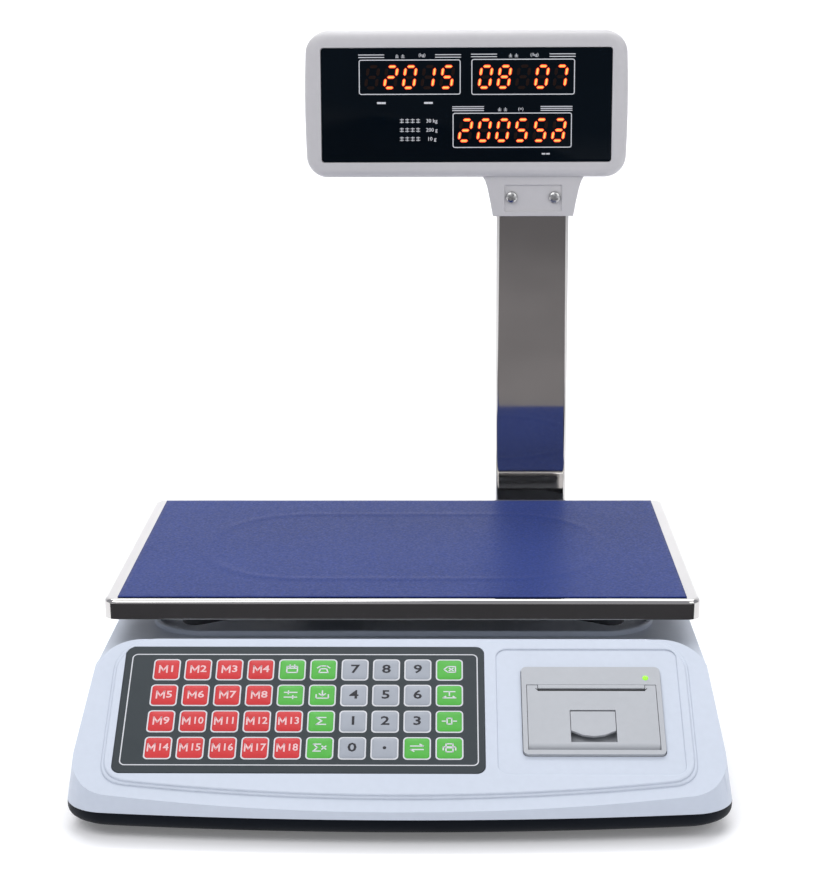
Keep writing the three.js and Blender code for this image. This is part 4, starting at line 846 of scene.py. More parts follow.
def outline_distance(x, y, half_x, half_y, radius):
    """Signed distance from a point to the outline of a rounded rectangle."""
    qx, qy = abs(x) - half_x + radius, abs(y) - half_y + radius
    outside = math.hypot(max(qx, 0), max(qy, 0))
    return outside + min(max(qx, qy), 0) - radius


def build_film(s):
    """A thin film that follows the platter's faint stamped rib."""
    c, half = (FILM_LOW + FILM_HIGH) / 2, (FILM_HIGH - FILM_LOW) / 2
    columns, rows = 120, 86
    bm = bmesh.new()
    grid = []
    for j in range(rows + 1):
        line = []
        for i in range(columns + 1):
            x = (i / columns * 2 - 1) * half.x
            y = (j / rows * 2 - 1) * half.y
            rib = outline_distance(x, y, 122 * MM, 77 * MM, 60 * MM)
            lift = 0.35 * MM * math.exp(-(rib / (3.2 * MM)) ** 2)
            wave = 0.05 * MM * (math.sin(x * 61 + y * 23) + math.sin(y * 47 - x * 13))
            line.append(bm.verts.new((c.x + x, c.y + y,
                                      FILM_HIGH.z + lift + 0.1 * MM + wave * 0.5)))
        grid.append(line)
    for j in range(rows):
        for i in range(columns):
            bm.faces.new((grid[j][i], grid[j][i + 1], grid[j + 1][i + 1], grid[j + 1][i]))
    sheet = put("platter_film_sheet", bm)
    sheet.data.shade_smooth()
    thick = sheet.modifiers.new("sheet", "SOLIDIFY")
    thick.thickness, thick.offset = 0.12 * MM, -1
    dress(sheet, film("blue film", s.film), "platter", "platter_film")


# ---- Keypad ----
KEY_ROWS = (
    ("M1", "M2", "M3", "M4", "@date", "@phone", "7", "8", "9", "@clear"),
    ("M5", "M6", "M7", "M8", "@set", "@store", "4", "5", "6", "@tare"),
    ("M9", "M10", "M11", "M12", "M13", "@sum", "1", "2", "3", "@zero"),
    ("M14", "M15", "M16", "M17", "M18", "@void", "0", ".", "@change", "@print"),
)
# Signs on the green keys, as strokes on a square from -1 to 1.
SIGNS = {
    "date": [[(-.7, -.7), (.7, -.7), (.7, .6), (-.7, .6), (-.7, -.7)], [(-.7, .2), (.7, .2)],
             [(-.3, .9), (-.3, .4)],
             [(.3, .9), (.3, .4)]],
    "phone": [[(-.8, .3), (-.4, .7), (.4, .7), (.8, .3)],
              [(-.6, -.7), (-.4, .1), (.4, .1), (.6, -.7), (-.6, -.7)]],
    "clear": [[(-.7, 0), (-.2, .6), (.8, .6), (.8, -.6), (-.2, -.6), (-.7, 0)],
              [(0, .25), (.5, -.25)],
              [(0, -.25), (.5, .25)]],
    "set": [[(-.8, .5), (.8, .5)], [(-.8, -.5), (.8, -.5)], [(-.3, .8), (-.3, .2)],
            [(.3, -.2), (.3, -.8)]],
    "store": [[(0, .8), (0, -.2)], [(-.4, .2), (0, -.2), (.4, .2)],
              [(-.8, 0), (-.8, -.7), (.8, -.7), (.8, 0)]],
    "tare": [[(-.7, .7), (.7, .7)], [(0, .7), (0, -.1)], [(-.8, -.6), (.8, -.6)],
             [(-.5, -.3), (-.8, -.6)],
             [(.5, -.3), (.8, -.6)]],
    "sum": [[(.6, .7), (-.6, .7), (.1, 0), (-.6, -.7), (.6, -.7)]],
    "zero": [[(-.3, -.6), (-.3, .6), (.3, .6), (.3, -.6), (-.3, -.6)], [(-.9, 0), (-.55, 0)],
             [(.9, 0), (.55, 0)]],
    "void": [[(.1, .7), (-.8, .7), (-.3, 0), (-.8, -.7), (.1, -.7)], [(.3, .3), (.8, -.3)],
             [(.3, -.3), (.8, .3)]],
    "change": [[(-.8, .35), (.8, .35), (.4, .7)], [(.8, -.35), (-.8, -.35), (-.4, -.7)]],
    "print": [[(-.45, .2), (-.45, .8), (.45, .8), (.45, .2)],
              [(-.8, -.4), (-.8, .2), (.8, .2), (.8, -.4)],
              [(-.45, 0), (.45, 0), (.45, -.8), (-.45, -.8), (-.45, 0)]],
}


def inked(bm, first, index):
    """Sets the material of the faces added since there were `first`; returns them."""
    bm.faces.ensure_lookup_table()
    added = bm.faces[first:]
    for face in added:
        face.material_index = index
    return added


def add_plate(bm, outline, place, low, high, index=0, taper=0.0, crown=0.0):
    """Adds a thin plate to a mesh; a crown gives it a domed top in three steps."""
    cx = sum(p[0] for p in outline) / len(outline)
    cy = sum(p[1] for p in outline) / len(outline)

    def ring(k, z):
        return [place @ Vector((cx + (x - cx) * k, cy + (y - cy) * k, z)) for x, y in outline]

    rings = [ring(1, low), ring(1 - taper, high)]
    if crown:
        rings += [ring(k, high + crown * rise) for k,
                  rise in ((0.86, 0.55), (0.62, 0.9), (0.3, 1.0))]
    before = len(bm.faces)
    skin(bm, rings)
    for face in inked(bm, before, index):
        face.smooth = bool(crown)


def add_ring(bm, outer, inner, place, low, high, index=0):
    """Adds a flat closed band between two outlines of equal count."""
    rings = [[place @ Vector((x, y, z)) for x, y in o] for o, z in
             ((outer, low), (outer, high), (inner, high), (inner, low))]
    before = len(bm.faces)
    skin(bm, rings, closed=True)
    inked(bm, before, index)


def add_stroke(bm, points, width, place, low, high, index=0):
    """Adds a line of thin bars through the points."""
    for a, b in zip(points, points[1:]):
        run = Vector((b[0] - a[0], b[1] - a[1]))
        if run.length < 1e-7:
            continue
        run.normalize()
        out, ahead = Vector((-run.y, run.x)) * width / 2, run * width / 2
        a2, b2 = Vector(a) - ahead, Vector(b) + ahead
        corners = [a2 - out, b2 - out, b2 + out, a2 + out]
        add_plate(bm, [(p.x, p.y) for p in corners], place, low, high, index)


# Height of a capital letter, as a share of the lettering's size.
CAP_HEIGHT = 0.70


def add_text(bm, text, height, x, y, place, low, high, index=0, wide=1.0, bold=0.02):
    """Adds lettering of that cap height, centred on (x, y)."""
    curve = bpy.data.curves.new("lettering", "FONT")
    curve.body, curve.size, curve.resolution_u = text, height / CAP_HEIGHT, 2
    curve.align_x, curve.align_y = "CENTER", "CENTER"
    curve.offset = bold * height
    curve.extrude = (high - low) / 2
    obj = bpy.data.objects.new("lettering", curve)
    bpy.context.scene.collection.objects.link(obj)
    bpy.context.view_layer.update()
    graph = bpy.context.evaluated_depsgraph_get()
    mesh = bpy.data.meshes.new_from_object(obj.evaluated_get(graph))
    mesh.transform(place @ Matrix.Translation((x, y, (low + high)
                                               / 2)) @ Matrix.Diagonal((wide, 1, 1, 1)))
    before = len(bm.faces)
    bm.from_mesh(mesh)
    inked(bm, before, index)
    bpy.data.objects.remove(obj)
    bpy.data.meshes.remove(mesh)
    bpy.data.curves.remove(curve)


def build_keypad(s):
    """The overlay with its printed line, its 40 embossed keys and their labels."""
    sheet = printed("keypad sheet", s.sheet, 0.42)
    light = printed("keypad light", s.light, 0.42)
    top = OVERLAY_OUT
    overlay = prism("keypad_sheet", rounded(KEYPAD_W, KEYPAD_H, 5 * MM, KEYPAD_X, -KEYPAD_H / 2,
                                            10),
                    -OVERLAY_IN, top, HOOD)
    ease(overlay, 0.25 * MM, 2, 40)
    dress(overlay, sheet, "base", "keypad_overlay")

    bm = bmesh.new()
    line_x, line_y = KEYPAD_X + 0.1 * MM, -44.55 * MM
    line = [rounded(197.8 * MM - k, 78.5 * MM - k, 3.2 * MM - k / 2, line_x, line_y, 8)
            for k in (0, 1.3 * MM)]
    add_ring(bm, line[0], line[1], HOOD, top - 0.05 * MM, top + 0.04 * MM)
    border = put("keypad_line", bm)
    dress(border, light, "base")

    inks = [light, printed("key red", s.red, 0.36), printed("key green", s.green, 0.36),
            printed("key grey", s.grey, 0.36), printed("key dark", s.dark, 0.4),
            printed("key pale", s.pale, 0.4)]
    keys, labels = bmesh.new(), bmesh.new()
    for row, names in enumerate(KEY_ROWS):
        for column, name in enumerate(names):
            x = OVERLAY_LOW.x + s.left + column * s.pitch_x
            y = -s.top - row * s.pitch_y
            ink = 1 if name[0] == "M" else 2 if name[0] == "@" else 3
            edge = rounded(s.key, s.key, 2.4 * MM, x, y, 6)
            face = rounded(s.key - 1.5 * MM, s.key - 1.5 * MM, 1.8 * MM, x, y, 6)
            add_plate(keys, edge, HOOD, top - 0.05 * MM, top + 0.10 * MM, 0, 0.012)
            add_plate(keys, face, HOOD, top, top + 0.16 * MM, ink, 0.02, s.dome)
            high = top + 0.20 * MM + s.dome
            low = high - 0.12 * MM
            if name[0] == "@":
                for stroke in SIGNS[name[1:]]:
                    points = [(x + px * 4.3 * MM, y + py * 3.4 * MM) for px, py in stroke]
                    add_stroke(labels, points, 0.75 * MM, HOOD, low, high, 0)
            elif name == ".":
                add_plate(labels, rounded(2 * MM, 2 * MM, 0.9 * MM, x, y, 5), HOOD, low, high, 4)
            elif name[0] == "M":
                wide = len(name) == 2
                mx, w, h = x - (1.9 if wide else 3.6) * MM, (2.1 if wide else 1.9) * MM, 2.35 * MM
                letter = [(mx - w, y - h), (mx - w, y + h), (mx, y - h * 0.4), (mx + w, y + h),
                          (mx + w, y - h)]
                add_stroke(labels, letter, 0.9 * MM, HOOD, low, high, 5)
                add_text(labels, name[1:], 4.7 * MM, x + (3.1 if wide else 2.9) * MM, y, HOOD, low,
                         high, 5,
                         1.15 if wide else 0.95, 0.025)
            else:
                add_text(labels, name, 5.8 * MM, x, y, HOOD, low, high, 4, 1.25, 0.03)
    for name, made in (("keypad_keys", keys), ("keypad_labels", labels)):
        bmesh.ops.recalc_face_normals(made, faces=made.faces)
        obj = put(name, made)
        dress(obj, inks, "base")


# ---- Label printer ----
# Height of the door's face above the panel round the printer.
DOOR_TOP = 0.84 * MM


def build_printer(s):
    body = moulded("printer grey", s.grey, 0.45, 3000)
    steel = plated("printer steel", (0.46, 0.47, 0.49))
    nylon = moulded("gear nylon", (0.70, 0.68, 0.58), 0.4, 1800)
    refine("printer_frame", body, s.edge, 2)
    refine("printer_door", body, 0.3 * MM, 2)
    refine("door_latch", body, 0.4 * MM, 2)
    refine("print_head", milled("printer head", (0.5, 0.51, 0.53)), 0.3 * MM)
    refine("tear_bar", body, 0.15 * MM, 1)
    refine("platen_shaft", steel, 0.2 * MM, 1, 60)
    refine("feed_motor", steel, 0.5 * MM, 2, 50)
    for node in ("platen_gear", "idler_gear", "motor_pinion"):
        refine(node, nylon, 0.08 * MM, 1, 50)
    refine("platen_rubber", rubber("platen rubber", (0.02, 0.02, 0.021)), 0.3 * MM, 1, 50)
    led, _ = spread("status_led")
    seat = HOOD @ Matrix.Translation((*(HOOD.inverted() @ led).xy, DOOR_TOP))
    lamp = lathe("ready_lamp", [(0.2 * MM, 1.0 * MM), (0.9 * MM, 0.86 * MM), (1.5 * MM, 0.45 * MM),
                                (1.75 * MM, 0.05 * MM), (1.75 * MM, -0.05 * MM),
                                (0.2 * MM, -3 * MM)], seat, 32)
    smooth(lamp, 60)
    dress(lamp, tinted_lens("ready lamp", (0.24, 0.66, 0.03), 0.75), "base",
          "status_led")
    build_roll(s)
    build_paper_slot()


def build_roll(s):
    """The label roll: wound sheets with a stepped face, and its card core."""
    c, sz = spread("paper_roll")
    across = Matrix.Translation(c) @ Matrix.Rotation(math.pi / 2, 4, "Y")
    half, outer = sz.x / 2, sz.y / 2
    inner, chamfer = 6.5 * MM, 0.3 * MM
    windings = 15
    face = []
    for k in range(windings):
        r0 = inner + (outer - inner) * k / windings
        r1 = inner + (outer - inner) * (k + 0.8) / windings
        face += [(r0, half - 0.25 * MM), (r0 + 0.1 * MM, half), (r1, half)]
    profile = face + [(outer, half - chamfer), (outer, chamfer - half)]
    profile += [(r, -z) for r, z in reversed(face)]
    roll = solid("label_roll", turned(profile, 72), across, closed=True)
    smooth(roll, 40)
    dress(roll, paper("label paper", s.paper), "roll", "paper_roll")
    refine("paper_core", paper("core card", (0.42, 0.30, 0.18)), 0.2 * MM, 1, 50)


def build_paper_slot():
    """The paper slot's shade painted as a dark line, with its turned-up ends."""
    # Painted shade: a near-black strip with a rubber finish stands where the slot's gap lies in shade.
    dark = rubber("painted slot shade", (0.012, 0.012, 0.013))
    c, _ = spread("tear_bar")
    bm = bmesh.new()
    half, y, top = 29.6 * MM, -31.9 * MM, DOOR_TOP
    bow = [(-half - 1.6 * MM, y + 1.2 * MM), (-half, y), (half, y), (half + 1.6 * MM, y + 1.2 * MM)]
    add_stroke(bm, [(c.x + px, py) for px, py in bow], 0.5 * MM, HOOD, top - 0.5 * MM, top, 0)
    bmesh.ops.recalc_face_normals(bm, faces=bm.faces)
    dress(put("slot_shade_line", bm), dark, "printer_door")


# ---- Pole ----
def build_pole(s):
    steel = polished("pole steel", s.steel)
    zinc = plated("bracket zinc", (0.47, 0.48, 0.50))
    w, d = POLE_HIGH.x - POLE_LOW.x, POLE_HIGH.y - POLE_LOW.y
    wall = 1.2 * MM

    def ring(inset, z):
        return level(rounded(w - inset * 2, d - inset * 2, s.tube_edge - inset, POLE_X, POLE_Y, 10),
                     z)

    heights = (POLE_LOW.z, POLE_HIGH.z)
    rings = [ring(0, heights[0]), ring(0, heights[1]), ring(wall, heights[1]),
             ring(wall, heights[0])]
    tube = solid("pole_tube", rings, closed=True)
    smooth(tube, 40, flats=True)
    dress(tube, steel, "base", "pole")
    refine("pole_bracket", zinc, 0.5 * MM, 2)
    for node in ("pole_screw_left", "pole_screw_right"):
        refine(node, zinc, 0.25 * MM, 2, 45)


# ---- Display head ----
NECK_TOP_HALF = 33.9 * MM
SCREW_Z = spread("neck_screw_left")[0].z


def head_ring(y, inset, s):
    w = FRONT_HIGH.x - FRONT_LOW.x
    outline = rounded(w - inset * 2, HEAD_H - inset * 2, max(s.corner - inset, 1 * MM), HEAD_X,
                      HEAD_Z, 10, s.barrel)
    return upright(outline, y)


# Adds a barrelled outline's extra points without its bulge, so that two rings match.
STRAIGHT = 1e-9


def window_ring(y, grow):
    w, h = WINDOW_HIGH.x - WINDOW_LOW.x, WINDOW_HIGH.z - WINDOW_LOW.z
    return upright(rounded(w + grow * 2, h + grow * 2, 2 * MM, HEAD_X, HEAD_Z, 10, STRAIGHT), y)


def housing_shell(name, face, split, s):
    """One half of the head: rim, face, window seat and hollow, as one closed skin."""
    inward = 1 if split > face else -1
    r = s.rim
    rings = [head_ring(split, 0, s)]
    rings += [head_ring(face + inward * r * (1 - rise), r * draw, s) for draw, rise in quarter(8)]
    # The window's seat, as depth behind the face and growth past the window, in millimetres.
    seat = ((0, 0.9), (0.15, 0.45), (0.5, 0.3), (2.9, 0.3), (2.9, -3), (5, -3))
    rings += [window_ring(face + inward * deep * MM, grow * MM) for deep, grow in seat]
    rings += [head_ring(face + inward * 5 * MM, s.wall + 4 * MM, s),
              head_ring(face + inward * 8 * MM, s.wall, s), head_ring(split, s.wall, s)]
    return solid(name, rings, closed=True)


def neck_block(name, y0, y1, front):
    """The tapered neck under the head, hollow for the pole, with its screw recess in front."""
    shell_foot = HEAD_Z - HEAD_H / 2
    low, high = FRONT_LOW.z, shell_foot + 5 * MM
    foot = (POLE_HIGH.x - POLE_LOW.x) / 2 + 2.7 * MM
    flare = [(POLE_X - foot, low), (POLE_X + foot, low)]
    curve = [(0.0, 0.0), (0.35, 0.28), (0.7, 0.62), (0.86, 0.86), (1.0, 1.22)]
    top_z = shell_foot + 1.5 * MM
    right = [(POLE_X + foot + (NECK_TOP_HALF - foot) * k, low + (top_z - low) * t) for t,
             k in curve[1:]]
    left = [(2 * POLE_X - x, z) for x, z in reversed(right)]
    outline = flare + right + [(right[-1][0], high), (left[0][0], high)] + left
    block = along_y(name, outline, y0, y1)
    grow = 0.3 * MM
    combine(block, "DIFFERENCE",
            brick("socket", POLE_LOW.x - grow, POLE_HIGH.x + grow, POLE_LOW.y - grow,
                                       POLE_HIGH.y + grow, low - 0.01, high + 0.01))
    if front:
        half, below, above, deep = 19.5 * MM, 9.6 * MM, 8.3 * MM, 1.2 * MM
        plate = [(POLE_X - half, SCREW_Z - below), (POLE_X + half, SCREW_Z - below),
                 (POLE_X + half, SCREW_Z + above), (POLE_X - half, SCREW_Z + above)]
        combine(block, "DIFFERENCE", along_y("recess", plate, y0 - 1 * MM, y0 + deep))
    return block


def build_head(s):
    plastic = moulded("housing grey", s.housing, 0.44, 2400)
    gap = 0.15 * MM
    halves = (
        ("head_front", FRONT_LOW.y, HEAD_SPLIT - gap, "head_front_housing", True),
        ("head_rear", REAR_HIGH.y, HEAD_SPLIT + gap, "head_rear_housing", False),
    )
    for name, face, split, node, front in halves:
        shell = housing_shell(name, face, split, s)
        smooth(shell, 38, flats=True)
        dress(shell, plastic, "base", node)
        near = face + (4 * MM if front else -0.3 * MM)
        neck = neck_block(name + "_neck", min(near, split), max(near, split), front)
        ease(neck, 0.9 * MM, 3, 30)
        dress(neck, plastic, "base")


def segment_shape(s):
    """Seven segments of a figure eight as (start, end) in halves of its width and height."""
    w, h = s.digit * 0.50, s.digit
    x, z = w / 2, h / 2
    return {"a": ((-x, z), (x, z)), "b": ((x, z), (x, 0)), "c": ((x, 0), (x, -z)),
            "d": ((-x, -z), (x, -z)),
            "e": ((-x, 0), (-x, -z)), "f": ((-x, z), (-x, 0)), "g": ((-x, 0), (x, 0))}


FIGURES = {"0": "abcdef", "1": "bc", "2": "abged", "3": "abgcd", "4": "fgbc", "5": "afgcd",
           "6": "afgedc",
           "7": "abc", "8": "abcdefg", "9": "abcdfg", "a": "abcdeg", " ": ""}
SLANT = math.tan(math.radians(8))


def add_segment(bm, layer, start, end, half, centre, y, lit):
    """One hexagonal segment; the layer holds 1 along its middle and 0 round its edge."""
    a, b = Vector(start), Vector(end)
    run = (b - a).normalized()
    a, b = a + run * half * 0.75, b - run * half * 0.75
    out = Vector((-run.y, run.x)) * half
    rim = [a, a + run * half + out, b - run * half + out, b, b - run * half - out,
           a + run * half - out]
    mid = [a + run * half, b - run * half]

    def point(p, back):
        return bm.verts.new((centre[0] + p.x + SLANT * p.y, y + back, centre[1] + p.y))

    edge = [point(p, 0.0) for p in rim]
    core = [point(p, 0.0) for p in mid]
    for v in core:
        v[layer] = 1.0
    faces = [(edge[0], edge[1], core[0]), (edge[1], edge[2], core[1], core[0]),
             (edge[2], edge[3], core[1]),
             (edge[3], edge[4], core[1]), (edge[4], edge[5], core[0], core[1]),
             (edge[5], edge[0], core[0])]
    for face in faces:
        made = bm.faces.new(face)
        made.material_index = 0 if lit else 1


def row_centres(s):
    """Where each row's window sits, from the head's centre, with its box and text."""
    return {
        "weight": ((-38.4 * MM, 18.9 * MM), (69 * MM, 23.5 * MM), s.weight, 2),
        "price": ((38.4 * MM, 18.9 * MM), (70 * MM, 24 * MM), s.price, 2),
        "total": ((31.2 * MM, -17.0 * MM), (81 * MM, 23.7 * MM), s.total, 3),
    }


def build_display(s):
    """Both windows with their lit figures and printed lines; the rear is the front turned round."""
    pane = smoked("smoked window", s.window)
    line = printed("window print", (0.62, 0.63, 0.66), 0.35)
    lit = lit_segment("lit segment", s.rim_red, s.core, 1.15)
    unlit = smoked("unlit segment", (0.012, 0.006, 0.005))
    low, high = WINDOW_LOW, WINDOW_HIGH
    rings = []
    w, h = high.x - low.x, high.z - low.z
    for inset, y in ((0, high.y), (0, low.y + 0.3 * MM), (0.1 * MM, low.y + 0.1 * MM),
                     (0.35 * MM, low.y)):
        rings.append(upright(rounded(w - inset * 2, h - inset * 2, 2 * MM - inset, 0, 0, 8), y))
    face = low.y
    window = solid("window", rings)
    smooth(window, 25)

    bm = bmesh.new()
    layer = bm.verts.layers.float.new("core")
    shape = segment_shape(s)
    for (cx, cz), _, text, _ in row_centres(s).values():
        for i, sign in enumerate(text):
            x = cx + (i - (len(text) - 1) / 2) * s.pitch
            for key, (start, end) in shape.items():
                add_segment(bm, layer, start, end, 1.08 * MM, (x, cz), face - 0.06 * MM,
                            key in FIGURES[sign])
    figures = put("figures", bm)

    bm = bmesh.new()
    stand = Matrix.Translation((0, face, 0)) @ Matrix.Rotation(math.pi / 2, 4, "X")
    t0, t1 = 0.0, 0.05 * MM

    def stroke(x0, z0, x1, z1, width):
        add_stroke(bm, [(x0, z0), (x1, z1)], width, stand, t0, t1)

    def sign(x, z, wide, bars, stem, width):
        """A generic sign: two short bars joined by a stem."""
        for up in bars:
            stroke(x, z + up * MM, x + wide, z + up * MM, width)
        stroke(x + wide / 2, z + stem[0] * MM, x + wide / 2, z + stem[1] * MM, width)

    for (cx, cz), (bw, bh), _, stripes in row_centres(s).values():
        outer = rounded(bw, bh, 1.6 * MM, cx, cz, 6)
        inner = rounded(bw - 1.2 * MM, bh - 1.2 * MM, 1.0 * MM, cx, cz, 6)
        add_ring(bm, outer, inner, stand, t0, t1)
        for side in (-1, 1):
            for k in range(stripes):
                z = cz + bh / 2 + 1.5 * MM + k * (1.7 if stripes == 2 else 1.3) * MM
                run = (17 if stripes == 2 else 21) * MM
                far, near = cx + side * bw / 2, cx + side * (bw / 2 - run)
                stroke(min(far, near), z, max(far, near), z, 0.55 * MM)
        for k in (-9.5, -5.5):
            sign(cx + k * MM, cz + bh / 2 + 2.3 * MM, 1.8 * MM, (-1, 0.1), (-1, 1), 0.4 * MM)
    for (cx, cz), label in (((-30 * MM, 33.6 * MM), "(kg)"), ((46 * MM, 33.6 * MM), "(/kg)"),
                            ((37 * MM, -2.7 * MM), "(=)")):
        add_text(bm, label, 2.0 * MM, cx, cz, stand, t0, t1, 0, 1.1, 0.01)
    for x in (-60, -57, -28, -25):
        stroke(x * MM, 1.6 * MM, (x + 1.6) * MM, 1.6 * MM, 1.3 * MM)
    for x in (52, 55):
        stroke(x * MM, -33 * MM, (x + 1.4) * MM, -33 * MM, 1.0 * MM)
    for k, label in enumerate(("30 kg", "200 g", "10 g")):
        z = (-10.6 - 6.1 * k) * MM
        for x in (-45, -41.3, -37.6, -33.9):
            sign(x * MM, z, 2.2 * MM, (-0.8, 0.9), (-1.2, 1.4), 0.45 * MM)
        add_text(bm, label, 2.5 * MM, -23.5 * MM, z, stand, t0, t1, 0, 1.0, 0.01)
    bmesh.ops.recalc_face_normals(bm, faces=bm.faces)
    print_mesh = put("window_print", bm)

    here = Matrix.Translation((HEAD_X, 0, HEAD_Z))
    turned = Matrix.Translation((HEAD_X, 2 * HEAD_SPLIT, HEAD_Z)) @ Matrix.Rotation(math.pi, 4, "Z")
    sets = ((window, pane, "window_dark", "window"), (figures, [lit, unlit], "led_module", None),
            (print_mesh, line, "window_dark", None))
    for obj, finish, slot, node in sets:
        base_name = obj.name
        rear = bpy.data.objects.new(base_name + "_rear", obj.data.copy())
        bpy.context.scene.collection.objects.link(rear)
        obj.name = base_name + "_front"
        obj.data.transform(here)
        rear.data.transform(turned)
        for one, side in ((obj, "front"), (rear, "rear")):
            dress(one, finish, "base", f"{side}_{node}" if node else ())
    module = moulded("digit module", (0.05, 0.018, 0.014), 0.4, 1800)
    for row in ("weight", "price", "total"):
        for side in ("front", "rear"):
            refine(f"{row}_digits_{side}", module, 0.4 * MM, 2)
    refine("display_board", circuit("display board green", (0.022, 0.10, 0.045)), 0.2 * MM, 1)


def build_neck_screws():
    """Pan-head screws with a cross recess, seated in the neck's recess."""
    zinc = plated("screw zinc", (0.58, 0.58, 0.57), 0.26)
    for side in ("left", "right"):
        node = f"neck_screw_{side}"
        low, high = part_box(node)
        c, r = (low + high) / 2, (high.x - low.x) / 2
        h = 2.4 * MM
        profile = [(0.3 * MM, h)]
        for i in range(1, 9):
            a = math.pi / 2 * (1 - i / 8)
            profile.append((r * math.cos(a), h * 0.35 + h * 0.65 * math.sin(a)))
        profile += [(r, 0.2 * MM), (r - 0.2 * MM, 0), (2 * MM, 0), (2 * MM, -8 * MM),
                    (0.3 * MM, -8.6 * MM)]
        place = Matrix.Translation((c.x, low.y + h, c.z)) @ Matrix.Rotation(math.pi / 2, 4, "X")
        screw = lathe(f"neck_screw_head_{side}", profile, place, 40)
        arm, slit = r * 0.62, 0.5 * MM
        deep = low.y + 1.3 * MM
        for hw, hh in ((arm, slit), (slit, arm)):
            cutter = along_y("cross", [(c.x - hw, c.z - hh), (c.x + hw, c.z - hh),
                                       (c.x + hw, c.z + hh),
                                       (c.x - hw, c.z + hh)], low.y - 1 * MM, deep)
            cutter.data.transform(Matrix.Translation(c) @ Matrix.Rotation(0.5, 4, "Y") @ Matrix.Translation(-c))
            combine(screw, "DIFFERENCE", cutter)
        smooth(screw, 38)
        dress(screw, zinc, "base", node)


# ---- Fittings and works ----
def build_fittings():
    black = moulded("fitting black", (0.020, 0.020, 0.022), 0.42, 2000)
    refine("power_inlet", black, 0.4 * MM, 2)
    refine("switch_housing", black, 0.4 * MM, 2)
    refine("power_rocker", moulded("rocker black", (0.028, 0.028, 0.030), 0.3, 2400), 0.4 * MM, 2)
    refine("level_cup", black, 0.25 * MM, 2, 45)
    # The vial's faint glow is painted light: the level fluid is no lamp.
    refine("level_vial", tinted_lens("level fluid", (0.42, 0.70, 0.06), 0.05), 0.2 * MM, 2, 45)
    tilt = Matrix.Rotation(math.radians(-11), 4, "X")
    bm = bmesh.new()
    pivot = frame_joint("power_rocker_tilt")
    place = Matrix.Translation(pivot) @ tilt @ Matrix.Rotation(-math.pi / 2, 4,
                                                               "X") @ Matrix.Rotation(
        math.pi, 4, "Z")
    ring = [rounded(2.6 * MM - k, 2.6 * MM - k, 1.25 * MM - k / 2, 0, 2.2 * MM, 6)
            for k in (0, 0.7 * MM)]
    add_ring(bm, ring[0], ring[1], place, 2.7 * MM, 3.2 * MM)
    bmesh.ops.recalc_face_normals(bm, faces=bm.faces)
    bubble_c, bubble_s = spread("level_vial")
    bead = lathe("level_bubble", [(0.2 * MM, 0), (1.5 * MM, 0), (2.0 * MM, 0.08 * MM),
                                  (1.5 * MM, 0.16 * MM),
                                  (0.2 * MM, 0.2 * MM)],
                 Matrix.Translation((bubble_c.x, bubble_c.y, bubble_c.z + bubble_s.z / 2)), 32)
    smooth(bead, 60)
    # The bubble's faint glow is painted light: the bubble is no lamp.
    dress(bead, tinted_lens("bubble", (0.75, 0.92, 0.35), 0.1), "base")
    mark = put("rocker_mark", bm)
    dress(mark, printed("rocker white", (0.7, 0.7, 0.7)), "rocker")


def frame_joint(name):
    """Where a joint's axis lies."""
    return Vector(next(j for j in frame["joints"] if j["name"] == name)["pos_m"])


def build_works():
    """Finishes for the inner pieces that keep their CAD shapes."""
    zinc = plated("chassis zinc", (0.50, 0.51, 0.53))
    alloy = milled("cell aluminium", (0.56, 0.57, 0.59))
    green = circuit("board green", (0.020, 0.11, 0.045))
    pad = rubber("pad rubber", (0.025, 0.025, 0.027))
    refine("chassis_plate", zinc, 0.3 * MM)
    refine("battery", moulded("battery case", (0.035, 0.036, 0.042), 0.4, 1600), 1.2 * MM, 3)
    for node in ("power_board", "main_board"):
        refine(node, green, 0.25 * MM, 1)
    for node in ("load_cell", "load_cell_foot", "load_cell_cap"):
        refine(node, alloy, 0.5 * MM, 2)
    # The carrier's near-black colour is partly its own and partly painted shade, standing in for the shade in
    # the well under the platter.
    refine("pan_carrier", powder_coat("carrier black and shade", (0.022, 0.023, 0.026)), 1.0 * MM, 3)
    for i in range(1, 5):
        refine(f"carrier_pad_{i}", pad, 0.8 * MM, 3, 50)
    refine("keypad_circuit", printed("circuit sheet", (0.03, 0.03, 0.035)), 0.1 * MM, 1)
    refine("display_cable", rubber("cable sheath", (0.02, 0.02, 0.022)), 0.1 * MM, 1, 80)


# ---- Stage ----
CAMERA_PLACE = Vector((0.02662, -1.29868, 0.46845))
CAMERA_YAW, CAMERA_PITCH, CAMERA_ROLL = (math.radians(a) for a in (1.102, 12.618, -0.279))
CAMERA_LENS = 87.94


def build_camera():
    cy, sy = math.cos(CAMERA_YAW), math.sin(CAMERA_YAW)
    cp, sp = math.cos(CAMERA_PITCH), math.sin(CAMERA_PITCH)
    ahead = Vector((-sy * cp, cy * cp, -sp))
    right = Vector((cy, sy, 0))
    up = right.cross(ahead)
    cr, sr = math.cos(CAMERA_ROLL), math.sin(CAMERA_ROLL)
    right, up = right * cr + up * sr, up * cr - right * sr
    data = bpy.data.cameras.new("camera")
    data.lens, data.sensor_width = CAMERA_LENS, 36
    data.clip_start, data.clip_end = 0.05, 60
    camera = bpy.data.objects.new("camera", data)
    bpy.context.scene.collection.objects.link(camera)
    turn = Matrix((right, up, -ahead)).transposed().to_4x4()
    camera.matrix_world = Matrix.Translation(CAMERA_PLACE) @ turn
    bpy.context.scene.camera = camera


def soft_light(name, place, target, width, height, power):
    """A rectangular light that points at its target."""
    data = bpy.data.lights.new(name, "AREA")
    data.shape, data.size, data.size_y, data.energy = "RECTANGLE", width, height, power
    lamp = bpy.data.objects.new(name, data)
    bpy.context.scene.collection.objects.link(lamp)
    lamp.location = place
    lamp.rotation_euler = (Vector(target) - Vector(place)).to_track_quat("-Z", "Y").to_euler()


